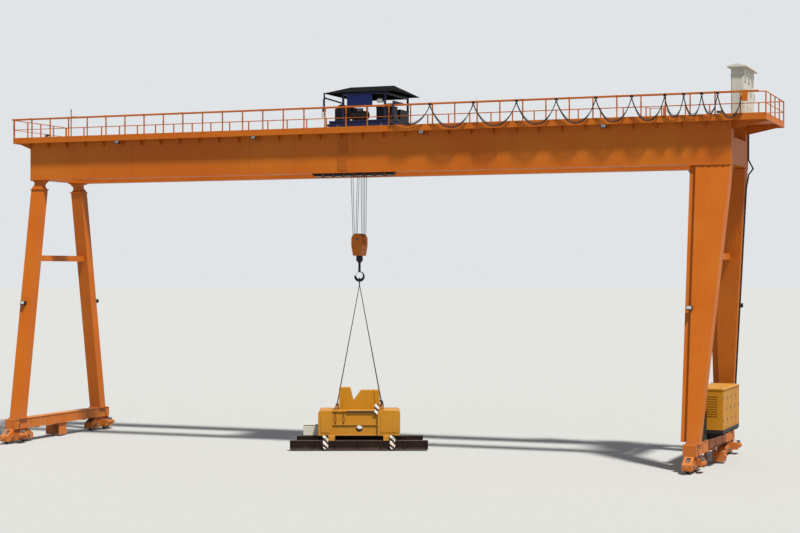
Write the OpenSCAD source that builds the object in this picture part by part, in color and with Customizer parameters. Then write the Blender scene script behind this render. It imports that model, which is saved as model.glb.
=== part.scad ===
// Rail-mounted double-girder gantry crane with a hook trolley and a container spreader.
// X runs along the girders, +X towards the rigid legs and the generator set.
// Y runs along the crane rails, Z is up from the lowest point of the wheels.
// The origin is at the bottom centre of the whole crane.

/* [Portal] */
// Distance between the two crane rails
span = 34630; // [32000:10:35500]
// Height of the underside of the girders
clear_height = 13460; // [12500:10:14000]
// Girder beyond the rail at the flexible legs
overhang_flexible = 400; // [380:10:600]
// Girder beyond the rail at the rigid legs
overhang_rigid = 1370; // [1330:10:1700]
// End platform beyond the girders at the flexible legs
platform_flexible = 800; // [600:10:1000]
// End platform beyond the girders at the rigid legs
platform_rigid = 1600; // [1400:10:1800]

/* [Girders] */
// Distance between the girder centre lines
girder_gap = 3600; // [3400:10:3800]
// Depth of a girder over its flanges
girder_depth = 2000; // [1800:10:2200]
// Width of a girder over its webs
girder_box = 640; // [560:10:700]
// Width of a girder's flanges
flange_w = 760; // [720:10:820]
// Thickness of a girder's flanges
flange_t = 25; // [16:1:40]
// Length of the cover plates of the middle splice
splice_len = 520; // [300:10:800]
// Thickness of the cover plates of the middle splice
splice_t = 16; // [10:1:25]
// Depth of the end ties between the girders
tie_depth = 1200; // [900:10:1500]
// Width of the end ties along X
tie_w = 450; // [350:10:500]

/* [Trolley rails] */
// Height of a trolley rail
rail_h = 134; // [110:1:160]
// Width of a trolley rail's foot
rail_foot = 120; // [100:1:140]
// Width of a trolley rail's head
rail_head = 68; // [50:1:80]
// Height of the stops at the rail ends
stop_h = 420; // [300:10:500]

/* [Walkways] */
// Distance from the crane's middle to the outer edge of the walkways
walk_edge = 2500; // [2400:10:2700]
// Distance from the crane's middle to the inner edge of the walkways
walk_inner = 1740; // [1700:10:1800]
// Thickness of the walkway deck with its bearers
deck_t = 80; // [60:5:100]
// Depth of the edge channel of decks
fascia_h = 195; // [150:5:260]
// Thickness of the edge channel
fascia_t = 40; // [20:5:60]
// Depth of the end brackets at the girder
bracket_root = 450; // [350:10:700]
// Depth of the end brackets at their tip
bracket_tip = 200; // [200:10:300]
// Thickness of bracket plates
bracket_t = 30; // [16:2:40]

/* [Handrails] */
// Height of the handrail over the deck
hand_h = 1050; // [950:10:1150]
// Distance between handrail posts, about
post_pitch = 1114; // [900:2:1400]
// Width of a handrail post
post_w = 50; // [40:2:60]
// Diameter of the top rail
top_d = 48; // [34:1:60]
// Diameter of the middle rail
mid_d = 34; // [25:1:42]
// Height of the toe board
toe_h = 110; // [80:5:150]
// Thickness of the toe board
toe_t = 8; // [6:1:12]

/* [Legs] */
// Distance between the leg centre lines at the sill
foot_gauge = 7600; // [7200:10:8000]
// Width of a rigid leg at its foot, along X
rigid_foot = 520; // [480:10:600]
// Width of a rigid leg at its head, along X
rigid_head = 1550; // [1400:10:1570]
// Distance of a rigid leg's upright inner edge from the rail
leg_in = 200; // [180:10:260]
// Width of the cable duct on that edge
duct_w = 280; // [200:10:320]
// Depth of the cable duct across the leg's plane
duct_t = 420; // [300:10:500]
// Thickness of a rigid leg across its plane
rigid_t = 700; // [600:10:720]
// Width of a flexible leg along X
flex_w = 650; // [550:10:700]
// Thickness of a flexible leg across its plane
flex_t = 550; // [480:10:600]
// Height of the neck on a flexible leg
neck_h = 460; // [400:10:700]
// Width of that neck
neck_w = 400; // [350:10:460]
// Thickness of the head and foot plates of the legs
plate_t = 40; // [25:1:60]
// How far those plates stand out round a leg
plate_lip = 55; // [30:5:70]
// Height of the middle of the leg ties
leg_tie_z = 9400; // [8600:10:10000]
// Depth of a leg tie
leg_tie_h = 300; // [250:10:400]
// Width of a leg tie along X
leg_tie_w = 260; // [200:10:350]

/* [Sill and bogies] */
// Height of the top of the sill beams
sill_top = 1220; // [1150:10:1300]
// Depth of the sill beams
sill_h = 500; // [400:10:520]
// Width of the sill beams along X
sill_w = 600; // [520:10:640]
// Length of the sill beams
sill_len = 9000; // [8800:10:9200]
// Distance of the jacking pads from the crane's middle, along Y
pad_y = 2250; // [2000:10:2400]
// Distance from the crane's middle to a bogie's middle, along Y
bogie_y = 3900; // [3800:10:4000]
// Length of a bogie at its bottom
bogie_len = 2300; // [2200:10:2400]
// Length of a bogie at its top
bogie_top_len = 1200; // [1000:10:1400]
// Width of a bogie along X
bogie_w = 500; // [440:10:560]
// Height of a bogie's lower edge over the ground
bogie_z = 150; // [120:5:180]
// Distance between the wheels of a bogie
wheel_base = 1400; // [1300:10:1500]
// Diameter of a travel wheel's tread
wheel_d = 600; // [560:10:620]
// How far the wheel flanges stand out
wheel_flange = 28; // [20:1:35]
// Width of a travel wheel over its flanges
wheel_w = 165; // [140:5:170]
// Diameter of a wheel axle
axle_d = 110; // [90:5:130]
// Gap between a wheel and the bogie's plates
wheel_gap = 14; // [8:1:20]
// Length of a buffer
buffer_len = 200; // [150:10:240]
// Diameter of a buffer
buffer_d = 170; // [120:10:200]
// Length of a rail clamp along Y
clamp_len = 700; // [500:10:900]
// Width of a rail clamp along X
clamp_w = 420; // [360:10:460]
// Height of a rail clamp's lower edge over the ground
clamp_z = 80; // [60:5:150]

/* [Generator set] */
// Length of the generator housing
gen_len = 3900; // [3500:10:4000]
// Width of the generator housing
gen_w = 1300; // [1100:10:1350]
// Height of the generator housing
gen_h = 1830; // [1500:10:1950]
// Height of the generator's base frame
gen_base_h = 450; // [350:10:520]
// How far the generator stands outwards from the rail
gen_off = 320; // [260:10:360]
// Length of the control cabinet beside it, along Y
box_len = 900; // [700:10:950]
// Width of that control cabinet
box_w = 520; // [400:10:560]
// Height of that control cabinet
box_h = 1300; // [1100:10:1400]

/* [Access] */
// Height of the middle landing's deck
landing_z = 6600; // [6000:10:7200]
// Distance of the top landing's deck below the girders
landing_drop = 360; // [300:10:500]
// Distance of the landings' inner ends from the rail, along X
landing_in = 1130; // [1000:10:1300]
// Distance of the landings' outer ends from the rail, along X
landing_out = 480; // [460:10:700]
// Reach of the landings out from the leg
landing_reach = 1650; // [1500:10:1900]
// Depth of the landings' edge channel
landing_edge = 260; // [180:10:350]
// Distance between a ladder's stringers
ladder_w = 460; // [400:10:520]
// Gap between the leg and the ladder
ladder_off = 200; // [180:5:260]
// Distance between the ladder's rungs
rung_pitch = 300; // [250:5:320]
// Radius of the ladder cage
cage_r = 360; // [330:5:380]
// Distance between the cage hoops
hoop_pitch = 900; // [700:10:1200]
// Width of the stair
stair_w = 600; // [500:10:700]
// Length of the stair's run along X
stair_run = 1700; // [1600:10:1900]
// Length of the flat stretch at the head of the stair
stair_top = 700; // [600:10:900]
// Number of risers of the stair
risers = 11; // [10:1:13]

/* [Electrical cabinet] */
// Depth of the electrical cabinet, along X
cab_x = 560; // [450:10:700]
// Width of the electrical cabinet, along Y
cab_y = 2700; // [2400:10:2800]
// Height of the electrical cabinet without its roof
cab_h = 2260; // [1900:10:2400]
// Thickness of its roof slab
cab_roof = 150; // [80:10:220]
// Overhang of that roof
cab_lip = 160; // [60:10:200]

/* [Trolley] */
// Length of the trolley frame along X
trolley_len = 3200; // [3000:10:3400]
// Depth of the trolley's beams
trolley_beam_h = 340; // [300:10:380]
// Width of the trolley's side beams
trolley_beam_w = 280; // [240:10:300]
// Diameter of a trolley wheel
trolley_wheel = 360; // [320:10:400]
// Distance between the trolley's axles
trolley_base = 2300; // [2100:10:2400]
// Canopy length along X
canopy_x = 3700; // [3500:10:3900]
// Canopy width along Y
canopy_y = 3600; // [3400:10:3700]
// Canopy ridge length
ridge_x = 2300; // [2000:10:2500]
// Height of the canopy's eaves over the trolley deck
eave_h = 1370; // [1250:10:1500]
// Rise of the canopy roof
roof_rise = 450; // [350:10:600]
// Diameter of the rope drum
drum_d = 560; // [480:10:620]
// Length of the rope drum
drum_len = 2000; // [1800:10:2100]
// Distance of the hook from the trolley's middle, along X
hook_x = -680; // [-740:10:-600]
// Place of the trolley's middle at rest, from the middle of the span
trolley_at = 665; // [-2000:5:2000]

/* [Hook block and load] */
// Height of the top of the hook block
block_top = 10580; // [10000:10:11000]
// Height of the hook block
block_h = 1100; // [1000:10:1200]
// Width of the hook block along Y
block_y = 750; // [700:10:850]
// Width of the hook block along X
block_x = 560; // [520:10:640]
// Diameter of a hoist rope
rope_d = 26; // [20:1:36]
// Angle of the spreader to the girders at rest
load_turn = 22; // [0:1:40]
// Gap between the resting spreader and the ground
load_gap = 60; // [50:5:120]
// Length of the spreader's front beam
beam_len = 6700; // [6500:10:6900]
// Length of the spreader's rear beam
rear_len = 6300; // [6000:10:6500]
// Distance between the spreader's beams
beam_gap = 2440; // [2300:10:2500]
// Width of a spreader beam
beam_w = 330; // [280:10:380]
// Depth of a spreader beam
beam_h = 440; // [380:10:480]
// Length of the spreader's body
body_len = 4000; // [3800:10:4200]
// Width of the spreader's body
body_w = 2000; // [1800:10:2050]
// Height of the spreader's body
body_h = 1220; // [1000:10:1300]
// Length of the head on the body
head_len = 1980; // [1800:10:2200]
// Height of the head
head_h = 1080; // [900:10:1200]
// Thickness of the head
head_t = 600; // [500:10:900]

/* [Hidden] */
$fn = 48;
eps = 0.01;
orange = [0.80, 0.40, 0.09];
yellow = [0.80, 0.53, 0.06];
navy = [0.06, 0.08, 0.14];
dark = [0.10, 0.10, 0.11];
steel = [0.45, 0.45, 0.46];
cream = [0.78, 0.79, 0.70];

// Stations along the crane
over_flexible = overhang_flexible + platform_flexible;
over_rigid = overhang_rigid + platform_rigid;
x_mid = (over_flexible - over_rigid) / 2;
x_flex = x_mid - span / 2;
x_rigid = x_mid + span / 2;
x_trolley = x_mid + trolley_at;
girder_x0 = x_flex - overhang_flexible;
girder_x1 = x_rigid + overhang_rigid;
end_x0 = girder_x0 - platform_flexible;
end_x1 = girder_x1 + platform_rigid;
girder_len = girder_x1 - girder_x0;

// Heights
girder_top = clear_height + girder_depth;
deck_top = girder_top + deck_t;
rail_top = girder_top + rail_h;
rail_y = girder_gap / 2 - girder_box / 2 + 20;

// Leg geometry: the legs lean inwards from the sill to the girders
leg_y_foot = foot_gauge / 2;
leg_y_head = girder_gap / 2;
lean = atan((leg_y_foot - leg_y_head) / (clear_height - sill_top));
leg_len = (clear_height - sill_top) / cos(lean);
leg_lamp_s = 5800;
neck_z = clear_height - neck_h;
function leg_y(z) = leg_y_head + (clear_height - z) * tan(lean);
function leg_inner(z, t) = leg_y(z) - t / 2 / cos(lean);
function leg_outer(z, t) = leg_y(z) + t / 2 / cos(lean);
// Outer edge of a rigid leg along X, from the rail
function leg_out(z) = rigid_foot - leg_in
    + (rigid_head - rigid_foot) * (z - sill_top) / (clear_height - sill_top);

// Bogies
axle_z = wheel_d / 2 + wheel_flange;
pin_gap = 0.3;
sill_bottom = sill_top - sill_h;
bogie_shoulder = bogie_z + 260;

// Generator
gen_x = x_rigid + gen_off;
gen_z = sill_top + gen_base_h;

// Trolley
trolley_z = rail_top + 55;
trolley_deck = trolley_z + trolley_beam_h;
plate_deck = 30;
trolley_web = trolley_beam_w - 60;
trolley_axle = 90;
trolley_axle_z = rail_top + trolley_wheel / 2;
canopy_z = trolley_deck + eave_h;
canopy_post = 90;
post_x = [-900, 1290];
drum_z = trolley_deck + 560;
hook_at = x_trolley + hook_x;
sheave_d = 440;
fall_x = (sheave_d + rope_d) / 2;
drum_x = hook_at - fall_x - (rope_d + drum_d) / 2;
top_sheave_z = trolley_z + 250;
slot_x = 900;
slot_y = 2100;

// Load
beam_z = load_gap;
cross_h = 200;
body_z = beam_z + beam_h + cross_h;
head_z = body_z + body_h;
block_z = block_top - block_h;

// A round bar from point p to point q
module bar(p, q, d) {
    v = q - p;
    translate(p)
        rotate([0, acos(v[2] / norm(v)), atan2(v[1], v[0])])
            cylinder(d = d, h = norm(v));
}

// A box centred on x and y, standing on z = 0
module block(size) {
    translate([-size[0] / 2, -size[1] / 2, 0]) cube(size);
}

// What is drawn for the far side (+Y), kept there or mirrored to the near side
module side(s) {
    if (s > 0) children();
    else mirror([0, 1, 0]) children();
}

// The frame of a far leg: origin at the sill, Z along the leg, Y outwards
module in_leg(x) {
    translate([x, leg_y(sill_top), sill_top]) rotate([lean, 0, 0]) children();
}

// A horizontal slice from z0 to z1 of a shape
module slice(z0, z1) {
    intersection() {
        children();
        translate([-span, -span / 2, z0]) cube([2 * span, span, z1 - z0]);
    }
}

module girder(s) {
    color(orange) side(s) translate([girder_x0, girder_gap / 2, clear_height]) {
        translate([0, -girder_box / 2, 0]) cube([girder_len, girder_box, girder_depth]);
        for (z = [0, girder_depth - flange_t])
            translate([0, -flange_w / 2, z]) cube([girder_len, flange_w, flange_t]);
        translate([x_mid - girder_x0 - splice_len / 2, -girder_box / 2 - splice_t, 4 * flange_t])
            cube([splice_len, girder_box + 2 * splice_t, girder_depth - 8 * flange_t]);
    }
}

module end_ties() {
    inner = girder_gap - girder_box;
    color(orange) for (x = [girder_x0, girder_x1 - tie_w])
        translate([x, -inner / 2, clear_height + flange_t]) cube([tie_w, inner, tie_depth]);
}

module trolley_rails() {
    run = girder_len - 2 * tie_w - 100;
    foot_t = 12;
    web = 20;
    crown = 40;
    color(steel) for (s = [-1, 1]) side(s) translate([girder_x0 + tie_w + 50, rail_y, girder_top]) {
        translate([run, 0, 0]) rotate([0, -90, 0]) linear_extrude(run) polygon([
            [0, -rail_foot / 2], [foot_t, -rail_foot / 2], [2 * foot_t, -web / 2],
            [rail_h - crown, -web / 2], [rail_h - 0.8 * crown, -rail_head / 2],
            [rail_h, -rail_head / 2], [rail_h, rail_head / 2],
            [rail_h - 0.8 * crown, rail_head / 2], [rail_h - crown, web / 2],
            [2 * foot_t, web / 2], [foot_t, rail_foot / 2], [0, rail_foot / 2]
        ]);
        for (x = [0, run - rail_foot])
            translate([x, -rail_foot / 2, 0]) cube([rail_foot, rail_foot, stop_h]);
    }
}

// Deck, edge channel and small brackets, drawn for the far side
module walkway(s) {
    wide = walk_edge - walk_inner;
    bays = round(girder_len / post_pitch);
    step = (girder_len - post_w) / bays;
    web = girder_gap / 2 + girder_box / 2;
    color(orange) side(s) translate([girder_x0, 0, 0]) {
        translate([0, walk_inner, girder_top]) cube([girder_len, wide, deck_t]);
        translate([0, walk_edge - fascia_t, deck_top - fascia_h])
            cube([girder_len, fascia_t, fascia_h]);
        for (i = [0 : bays]) let (at = i * step + post_w / 2) difference() {
            translate([at + bracket_t / 2, web, girder_top - flange_t])
                rotate([90, 0, -90]) linear_extrude(bracket_t) polygon([
                    [0, 0], [-(walk_edge - fascia_t - web), 0],
                    [-(walk_edge - fascia_t - web), -fascia_h / 2], [0, -fascia_h * 2]
                ]);
            translate([x_mid - girder_x0 - splice_len / 2, 0, girder_top - girder_depth])
                cube([splice_len, web + splice_t + pin_gap, girder_depth]);
        }
    }
}

// A deck across the crane's end, on tapered brackets in line with the girders
module end_platform(long, root) {
    union() {
        translate([0, -walk_edge, girder_top]) cube([long, 2 * walk_edge, deck_t]);
        translate([long - fascia_t, -walk_edge, deck_top - fascia_h])
            cube([fascia_t, 2 * walk_edge, fascia_h]);
        for (y = [-walk_edge, walk_edge - fascia_t])
            translate([0, y, deck_top - fascia_h]) cube([long, fascia_t, fascia_h]);
        for (y = [-1, 1] * girder_gap / 2)
            translate([0, y + bracket_t / 2, girder_top]) rotate([90, 0, 0])
                linear_extrude(bracket_t) polygon([
                    [0, 0], [long, 0], [long, deck_t - bracket_tip], [0, -root]
                ]);
    }
}

module end_platforms() {
    color(orange) {
        translate([girder_x1, 0, 0]) end_platform(platform_rigid, bracket_root);
        translate([girder_x0, 0, 0]) mirror([1, 0, 0])
            end_platform(platform_flexible, bracket_root);
    }
}

// A run of handrail along +X from the origin, on a deck at z = 0
module handrail(run) {
    bays = round(run / post_pitch);
    step = (run - post_w) / bays;
    for (i = [0 : bays])
        translate([i * step, -post_w / 2, 0]) cube([post_w, post_w, hand_h - top_d / 2]);
    translate([0, 0, hand_h - top_d / 2]) rotate([0, 90, 0]) cylinder(d = top_d, h = run);
    translate([0, 0, hand_h / 2]) rotate([0, 90, 0]) cylinder(d = mid_d, h = run);
    translate([0, -toe_t / 2, 0]) cube([run, toe_t, toe_h]);
}

module handrail_near() {
    color(orange) translate([end_x0, -walk_edge + post_w / 2, deck_top])
        handrail(end_x1 - end_x0);
}

// The far run has a gap at the head of the stair
module handrail_far() {
    color(orange) translate([0, walk_edge - post_w / 2, deck_top]) {
        translate([end_x0, 0, 0]) handrail(stair_x1 - stair_top - end_x0);
        translate([stair_x1, 0, 0]) handrail(end_x1 - stair_x1);
    }
}

module handrail_ends() {
    run = 2 * (walk_edge - post_w);
    color(orange) for (x = [end_x0 + post_w / 2, end_x1 - post_w / 2])
        translate([x, -run / 2, deck_top]) rotate([0, 0, 90]) handrail(run);
}

module electrical_cabinet() {
    plinth = 100;
    seam = 12;
    doors = 3;
    door_w = cab_y / doors;
    color(cream) translate([girder_x1 + cab_shift, 0, deck_top]) {
        block([cab_x - 60, cab_y - 60, plinth]);
        translate([0, 0, plinth]) block([cab_x - 2 * seam, cab_y - 2 * seam, cab_h - plinth]);
        for (x = [-1, 1] * (cab_x - seam) / 2) for (i = [0 : doors - 1])
            translate([x, (i + 0.5) * door_w - cab_y / 2, 2 * plinth])
                block([seam, door_w - 3 * seam, cab_h - 3 * plinth]);
        for (y = [-1, 1] * (cab_y - seam) / 2)
            translate([0, y, 2 * plinth]) block([cab_x - 6 * seam, seam, cab_h - 3 * plinth]);
        translate([0, 0, cab_h]) {
            block([cab_x + 2 * cab_lip, cab_y + 2 * cab_lip, cab_roof / 3]);
            translate([0, 0, cab_roof / 3]) rotate([90, 0, 0])
                linear_extrude(cab_y + 2 * cab_lip, center = true) polygon([
                    [-cab_x / 2 - cab_lip, 0], [cab_x / 2 + cab_lip, 0],
                    [0, cab_roof * 2 / 3]
                ]);
        }
    }
}

cab_shift = 130;
festoon_y = walk_edge + 120;
festoon_z = deck_top + hand_h - 40;
track_h = 70;
track_w = 40;
module festoon_track() {
    run = end_x1 - end_x0 - 300;
    bays = round((end_x1 - end_x0) / post_pitch);
    step = (end_x1 - end_x0 - post_w) / bays;
    hanger = 16;
    color(orange) translate([end_x0, -festoon_y, festoon_z]) {
        translate([0, -track_w / 2, 0]) cube([run, track_w, track_h]);
        for (i = [1 : 2 : bays - 1]) translate([i * step, 0, 0]) {
            translate([0, -track_w / 2, track_h])
                cube([post_w, festoon_y - walk_edge + track_w / 2, hanger]);
            translate([0, festoon_y - walk_edge - hanger, -2 * track_h])
                cube([post_w, hanger, 3 * track_h + hanger]);
        }
    }
    // Connection box at the fixed end of the cables
    color(dark)
        translate([x_mid + carriers[len(carriers) - 1], -festoon_y - 150 - track_w / 2, festoon_z - 400])
            cube([240, 150, 400 + track_h]);
}

// Places of the cable carriers along the track, from the trolley's arm to the fixed end
carriers = [2885, 4685, 6835, 8935, 10835, 12685, 14335, 15835, 16685, 17485, 18185, 19265];
cable_w = 90;
cable_t = 50;
carrier_h = 60;
tow_drop = 390;
sag_max = 1050;
function sag(i) = min(sag_max, 0.6 * (carriers[i + 1] - carriers[i]) + 420) - (i == 0 ? tow_drop : 0);
function loop_z(u, depth) = -depth * (1 - pow(abs(2 * u - 1), 2.4));
loop_steps = 12;
function cable_line(off) = [
    for (i = [0 : len(carriers) - 2]) for (k = [0 : loop_steps - 1]) let (u = k / loop_steps)
        [carriers[i] + (carriers[i + 1] - carriers[i]) * u,
         loop_z(u, sag(i)) + off - (i == 0 ? tow_drop * (1 - u) : 0)]
];
module festoon_cable() {
    top = cable_line(0);
    low = cable_line(-cable_t);
    n = len(top);
    color(dark) translate([x_mid, -festoon_y + cable_w / 2, festoon_z - carrier_h])
        rotate([90, 0, 0]) linear_extrude(cable_w)
            polygon(concat(top, [for (i = [1 : n]) low[n - i]]));
}

module festoon_carriers() {
    color(steel) for (i = [1 : len(carriers) - 2])
        translate([x_mid + carriers[i], -festoon_y, festoon_z - carrier_h])
            block([110, cable_w, carrier_h - pin_gap]);
}

// Lamps under the near walkway, a row of them under the near girder, and one on each leg
lamp_bays = [4, 11, 19, 27];
batten_len = 4300;
batten_x = -435;
lamp = 260;
module floodlight(deep, high) {
    difference() {
        cube([lamp, deep, high]);
        translate([16, -eps, 16]) cube([lamp - 32, 24, high - 32]);
    }
}

module floodlights() {
    bays = round(girder_len / post_pitch);
    step = (girder_len - post_w) / bays;
    color(dark) {
        for (i = lamp_bays)
            translate([girder_x0 + (i + 0.75) * step, -walk_edge + fascia_t, deck_top - fascia_h - 150])
                floodlight(180, 150 + fascia_h - deck_t);
        translate([batten_x - batten_len / 2, -girder_gap / 2 - 140, clear_height - 60])
            cube([batten_len, 280, 60]);
        for (i = [0 : 7])
            translate([batten_x + (i - 3.5) * batten_len / 8, -girder_gap / 2, clear_height - 140])
                block([0.7 * batten_len / 8, 240, 80]);
        side(-1) in_leg(x_rigid) translate([-380, rigid_t / 2, leg_lamp_s])
            cube([lamp, 200, 180]);
        in_leg(x_rigid) translate([leg_out(leg_lamp_s + sill_top) - lamp + 100, rigid_t / 2, leg_lamp_s])
            cube([lamp, 200, 180]);
        side(-1) in_leg(x_flex) translate([-lamp / 2 - 90, flex_t / 2, leg_lamp_s])
            cube([lamp, 200, 180]);
        in_leg(x_flex) translate([lamp / 2 - 30, flex_t / 2, leg_lamp_s]) cube([lamp, 200, 180]);
    }
}

mast_h = 2000;
module mast() {
    color(steel) translate([end_x0 + 500, walk_edge - 300, deck_top]) {
        cylinder(d = 60, h = mast_h);
        translate([0, 0, 0.8 * mast_h]) rotate([0, 90, 0]) cylinder(d = 40, h = 300);
    }
}

module leg_plates(x, wide, thick, z) {
    translate([x, leg_y(z), z]) block([wide + 2 * plate_lip, thick + 2 * plate_lip, plate_t]);
}

rib_t = 20;
// Triangular ribs under a head plate or on a foot plate, on the outer and inner faces of a leg
module ribs(places, thick, z, high, up) {
    for (x = places) for (s = [-1, 1])
        translate([x - rib_t / 2, leg_y(z + up * high / 2) + s * thick / 2 / cos(lean), z])
            rotate([90, 0, 90]) linear_extrude(rib_t)
                polygon([[-s * 60, 0], [s * (plate_lip - 5), 0], [-s * 60, up * high]]);
}

module rigid_leg(s) {
    more = 400;
    head = rigid_head / 2 - leg_in;
    foot = rigid_foot / 2 - leg_in;
    rib_h = 280;
    weld = 30;
    function edge(l) = rigid_foot - leg_in + (rigid_head - rigid_foot) * l / leg_len;
    color(orange) side(s) {
        slice(sill_top + plate_t, clear_height - plate_t) in_leg(x_rigid)
            rotate([90, 0, 0]) linear_extrude(rigid_t, center = true) polygon([
                [-leg_in, -more], [edge(-more), -more],
                [edge(leg_len + more), leg_len + more], [-leg_in, leg_len + more]
            ]);
        // Cable duct on the upright edge
        slice(sill_top + 2 * plate_t, clear_height - plate_t) in_leg(x_rigid)
            translate([-leg_in - (duct_w - weld) / 2, 0, -more])
                block([duct_w + weld, duct_t, leg_len + 2 * more]);
        translate([x_rigid + foot, leg_y(sill_top), sill_top])
            block([rigid_foot + 2 * plate_lip, rigid_t + 2 * plate_lip, plate_t]);
        translate([x_rigid + head - (duct_w + weld) / 2, leg_y_head, clear_height - plate_t])
            block([rigid_head + duct_w + weld, rigid_t + 2 * plate_lip, plate_t]);
        ribs([for (k = [1 : 4]) x_rigid - leg_in + k * rigid_head / 5], rigid_t,
            clear_height - plate_t, rib_h, -1);
        ribs([for (k = [1 : 2]) x_rigid - leg_in + k * rigid_foot / 3], rigid_t,
            sill_top + plate_t, rib_h, 1);
    }
}

module flexible_leg(s) {
    more = 400;
    rib_h = 220;
    color(orange) side(s) {
        slice(sill_top + plate_t, neck_z) in_leg(x_flex) translate([0, 0, -more])
            block([flex_w, flex_t, leg_len + 2 * more]);
        // Waisted neck that lets the head turn a little
        slice(neck_z - eps, clear_height - plate_t) in_leg(x_flex)
            translate([0, 0, (neck_z - sill_top) / cos(lean)]) rotate([90, 0, 0])
                linear_extrude(flex_t - 100, center = true) polygon([
                    [-flex_w / 2, -more / 2], [flex_w / 2, -more / 2], [flex_w / 2, 40],
                    [neck_w / 2, neck_h / 3], [neck_w / 2, neck_h * 2 / 3],
                    [flex_w / 2, neck_h - 60], [flex_w / 2, neck_h + more / 2],
                    [-flex_w / 2, neck_h + more / 2], [-flex_w / 2, neck_h - 60],
                    [-neck_w / 2, neck_h * 2 / 3], [-neck_w / 2, neck_h / 3], [-flex_w / 2, 40]
                ]);
        for (z = [sill_top, neck_z - plate_t, clear_height - plate_t])
            leg_plates(x_flex, flex_w, flex_t, z);
        ribs([for (k = [1 : 3]) x_flex - flex_w / 2 + k * flex_w / 4], flex_t,
            sill_top + plate_t, rib_h, 1);
    }
}

module leg_tie(x, t) {
    z0 = leg_tie_z - leg_tie_h / 2;
    z1 = z0 + leg_tie_h;
    translate([x - leg_tie_w / 2, 0, 0]) rotate([90, 0, 90])
        linear_extrude(leg_tie_w) polygon([
            [-leg_inner(z0, t) + pin_gap, z0], [leg_inner(z0, t) - pin_gap, z0],
            [leg_inner(z1, t) - pin_gap, z1], [-leg_inner(z1, t) + pin_gap, z1]
        ]);
}

module leg_ties() {
    color(orange) {
        leg_tie(x_rigid + (leg_out(leg_tie_z) - leg_in) / 2, rigid_t);
        leg_tie(x_flex, flex_t);
    }
}

module sill_beams() {
    diaphragms = 6;
    pad = 300;
    color(orange) for (x = [x_flex, x_rigid]) translate([x, 0, sill_bottom]) {
        block([sill_w - 60, sill_len, sill_h]);
        for (z = [0, sill_h - flange_t]) translate([0, 0, z]) block([sill_w, sill_len, flange_t]);
        for (i = [0 : diaphragms]) translate([0, (i / diaphragms - 0.5) * (sill_len - rib_t), 0])
            block([sill_w - 20, rib_t, sill_h]);
        // Jacking pads
        for (y = [-1, 1] * pad_y) translate([0, y, -60]) block([pad, pad, 60]);
    }
}

// Wheel housing: trapezoid side plates with a slot for the wheels and bores for the axles
module bogies(x) {
    slot = wheel_w + 2 * wheel_gap;
    cap_d = 250;
    cap_t = 35;
    color(orange) for (s = [-1, 1]) side(s) translate([x, bogie_y, 0]) {
        difference() {
            union() {
                rotate([90, 0, 90]) linear_extrude(bogie_w - 2 * cap_t, center = true) polygon([
                    [-bogie_len / 2, bogie_z], [bogie_len / 2, bogie_z],
                    [bogie_len / 2, bogie_shoulder], [bogie_top_len / 2, sill_bottom],
                    [-bogie_top_len / 2, sill_bottom], [-bogie_len / 2, bogie_shoulder]
                ]);
                // Bearing caps and the stiffeners between them
                for (y = [-1, 1] * wheel_base / 2) translate([-bogie_w / 2, y, axle_z])
                    rotate([0, 90, 0]) cylinder(d = cap_d, h = bogie_w);
                for (y = [-1, 1] * (bogie_top_len / 2 - 120)) translate([0, y, bogie_z + 60])
                    block([bogie_w - 20, rib_t, sill_bottom - bogie_z - 60]);
            }
            for (y = [-1, 1] * wheel_base / 2) {
                hull_w = wheel_d + 2 * wheel_flange + 2 * wheel_gap;
                translate([0, y, 0]) block([slot, hull_w, axle_z]);
                translate([-slot / 2, y, axle_z]) rotate([0, 90, 0])
                    cylinder(d = hull_w, h = slot);
                translate([-bogie_w, y, axle_z]) rotate([0, 90, 0])
                    cylinder(d = axle_d + 2 * pin_gap, h = 2 * bogie_w);
            }
        }
        translate([0, bogie_len / 2, bogie_shoulder - buffer_d / 2 - 20])
            rotate([-90, 0, 0]) {
                cylinder(d = buffer_d - 50, h = buffer_len);
                translate([0, 0, buffer_len / 2]) cylinder(d = buffer_d, h = buffer_len / 2);
            }
    }
}

// A ladder with rungs between z0 and z1, standing off the leg's outer face
ladder_x = 40;
stringer = 60;
module ladder(z0, z1) {
    more = 300;
    slice(z0, z1) in_leg(x_rigid + ladder_x)
        translate([0, rigid_t / 2 + ladder_off, -2 * more]) {
            for (x = [-1, 1] * ladder_w / 2)
                translate([x, 0, 0]) block([16, stringer, leg_len + 4 * more]);
            for (z = [rung_pitch : rung_pitch : leg_len + 3 * more])
                translate([-ladder_w / 2, 0, z]) rotate([0, 90, 0]) cylinder(d = 24, h = ladder_w);
        }
}

// Stand-offs that hold the ladder on the leg, at distances along the leg
module stand_offs(places) {
    for (z = places) in_leg(x_rigid + ladder_x) for (x = [-1, 1] * ladder_w / 2)
        translate([x - 8, rigid_t / 2, z]) cube([16, ladder_off - stringer / 2, 70]);
}

module access_ladder() {
    color(orange) {
        ladder(sill_top + 60, landing_z + 1100);
        ladder(landing_z + 1400, top_landing_z + 1050);
        stand_offs([1900 : 1900 : leg_len - 900]);
    }
}

cage_step = 2200;
module cage(s0, s1) {
    off = sqrt(cage_r * cage_r - ladder_w * ladder_w / 4) + stringer / 2;
    strip = 8;
    in_leg(x_rigid + ladder_x) translate([0, rigid_t / 2 + ladder_off + off, 0]) {
        for (z = [s0 : hoop_pitch : s1]) translate([0, 0, z]) linear_extrude(50) difference() {
            circle(cage_r + strip);
            circle(cage_r);
            translate([-2 * cage_r, -off - 4 * cage_r + stringer / 2]) square(4 * cage_r);
        }
        for (a = [-30, 30, 90, 150, 210])
            rotate([0, 0, a]) translate([cage_r - strip, -25, s0])
                cube([1.5 * strip, 50, s1 - s0 - (s1 - s0) % hoop_pitch + 50]);
    }
}

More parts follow.
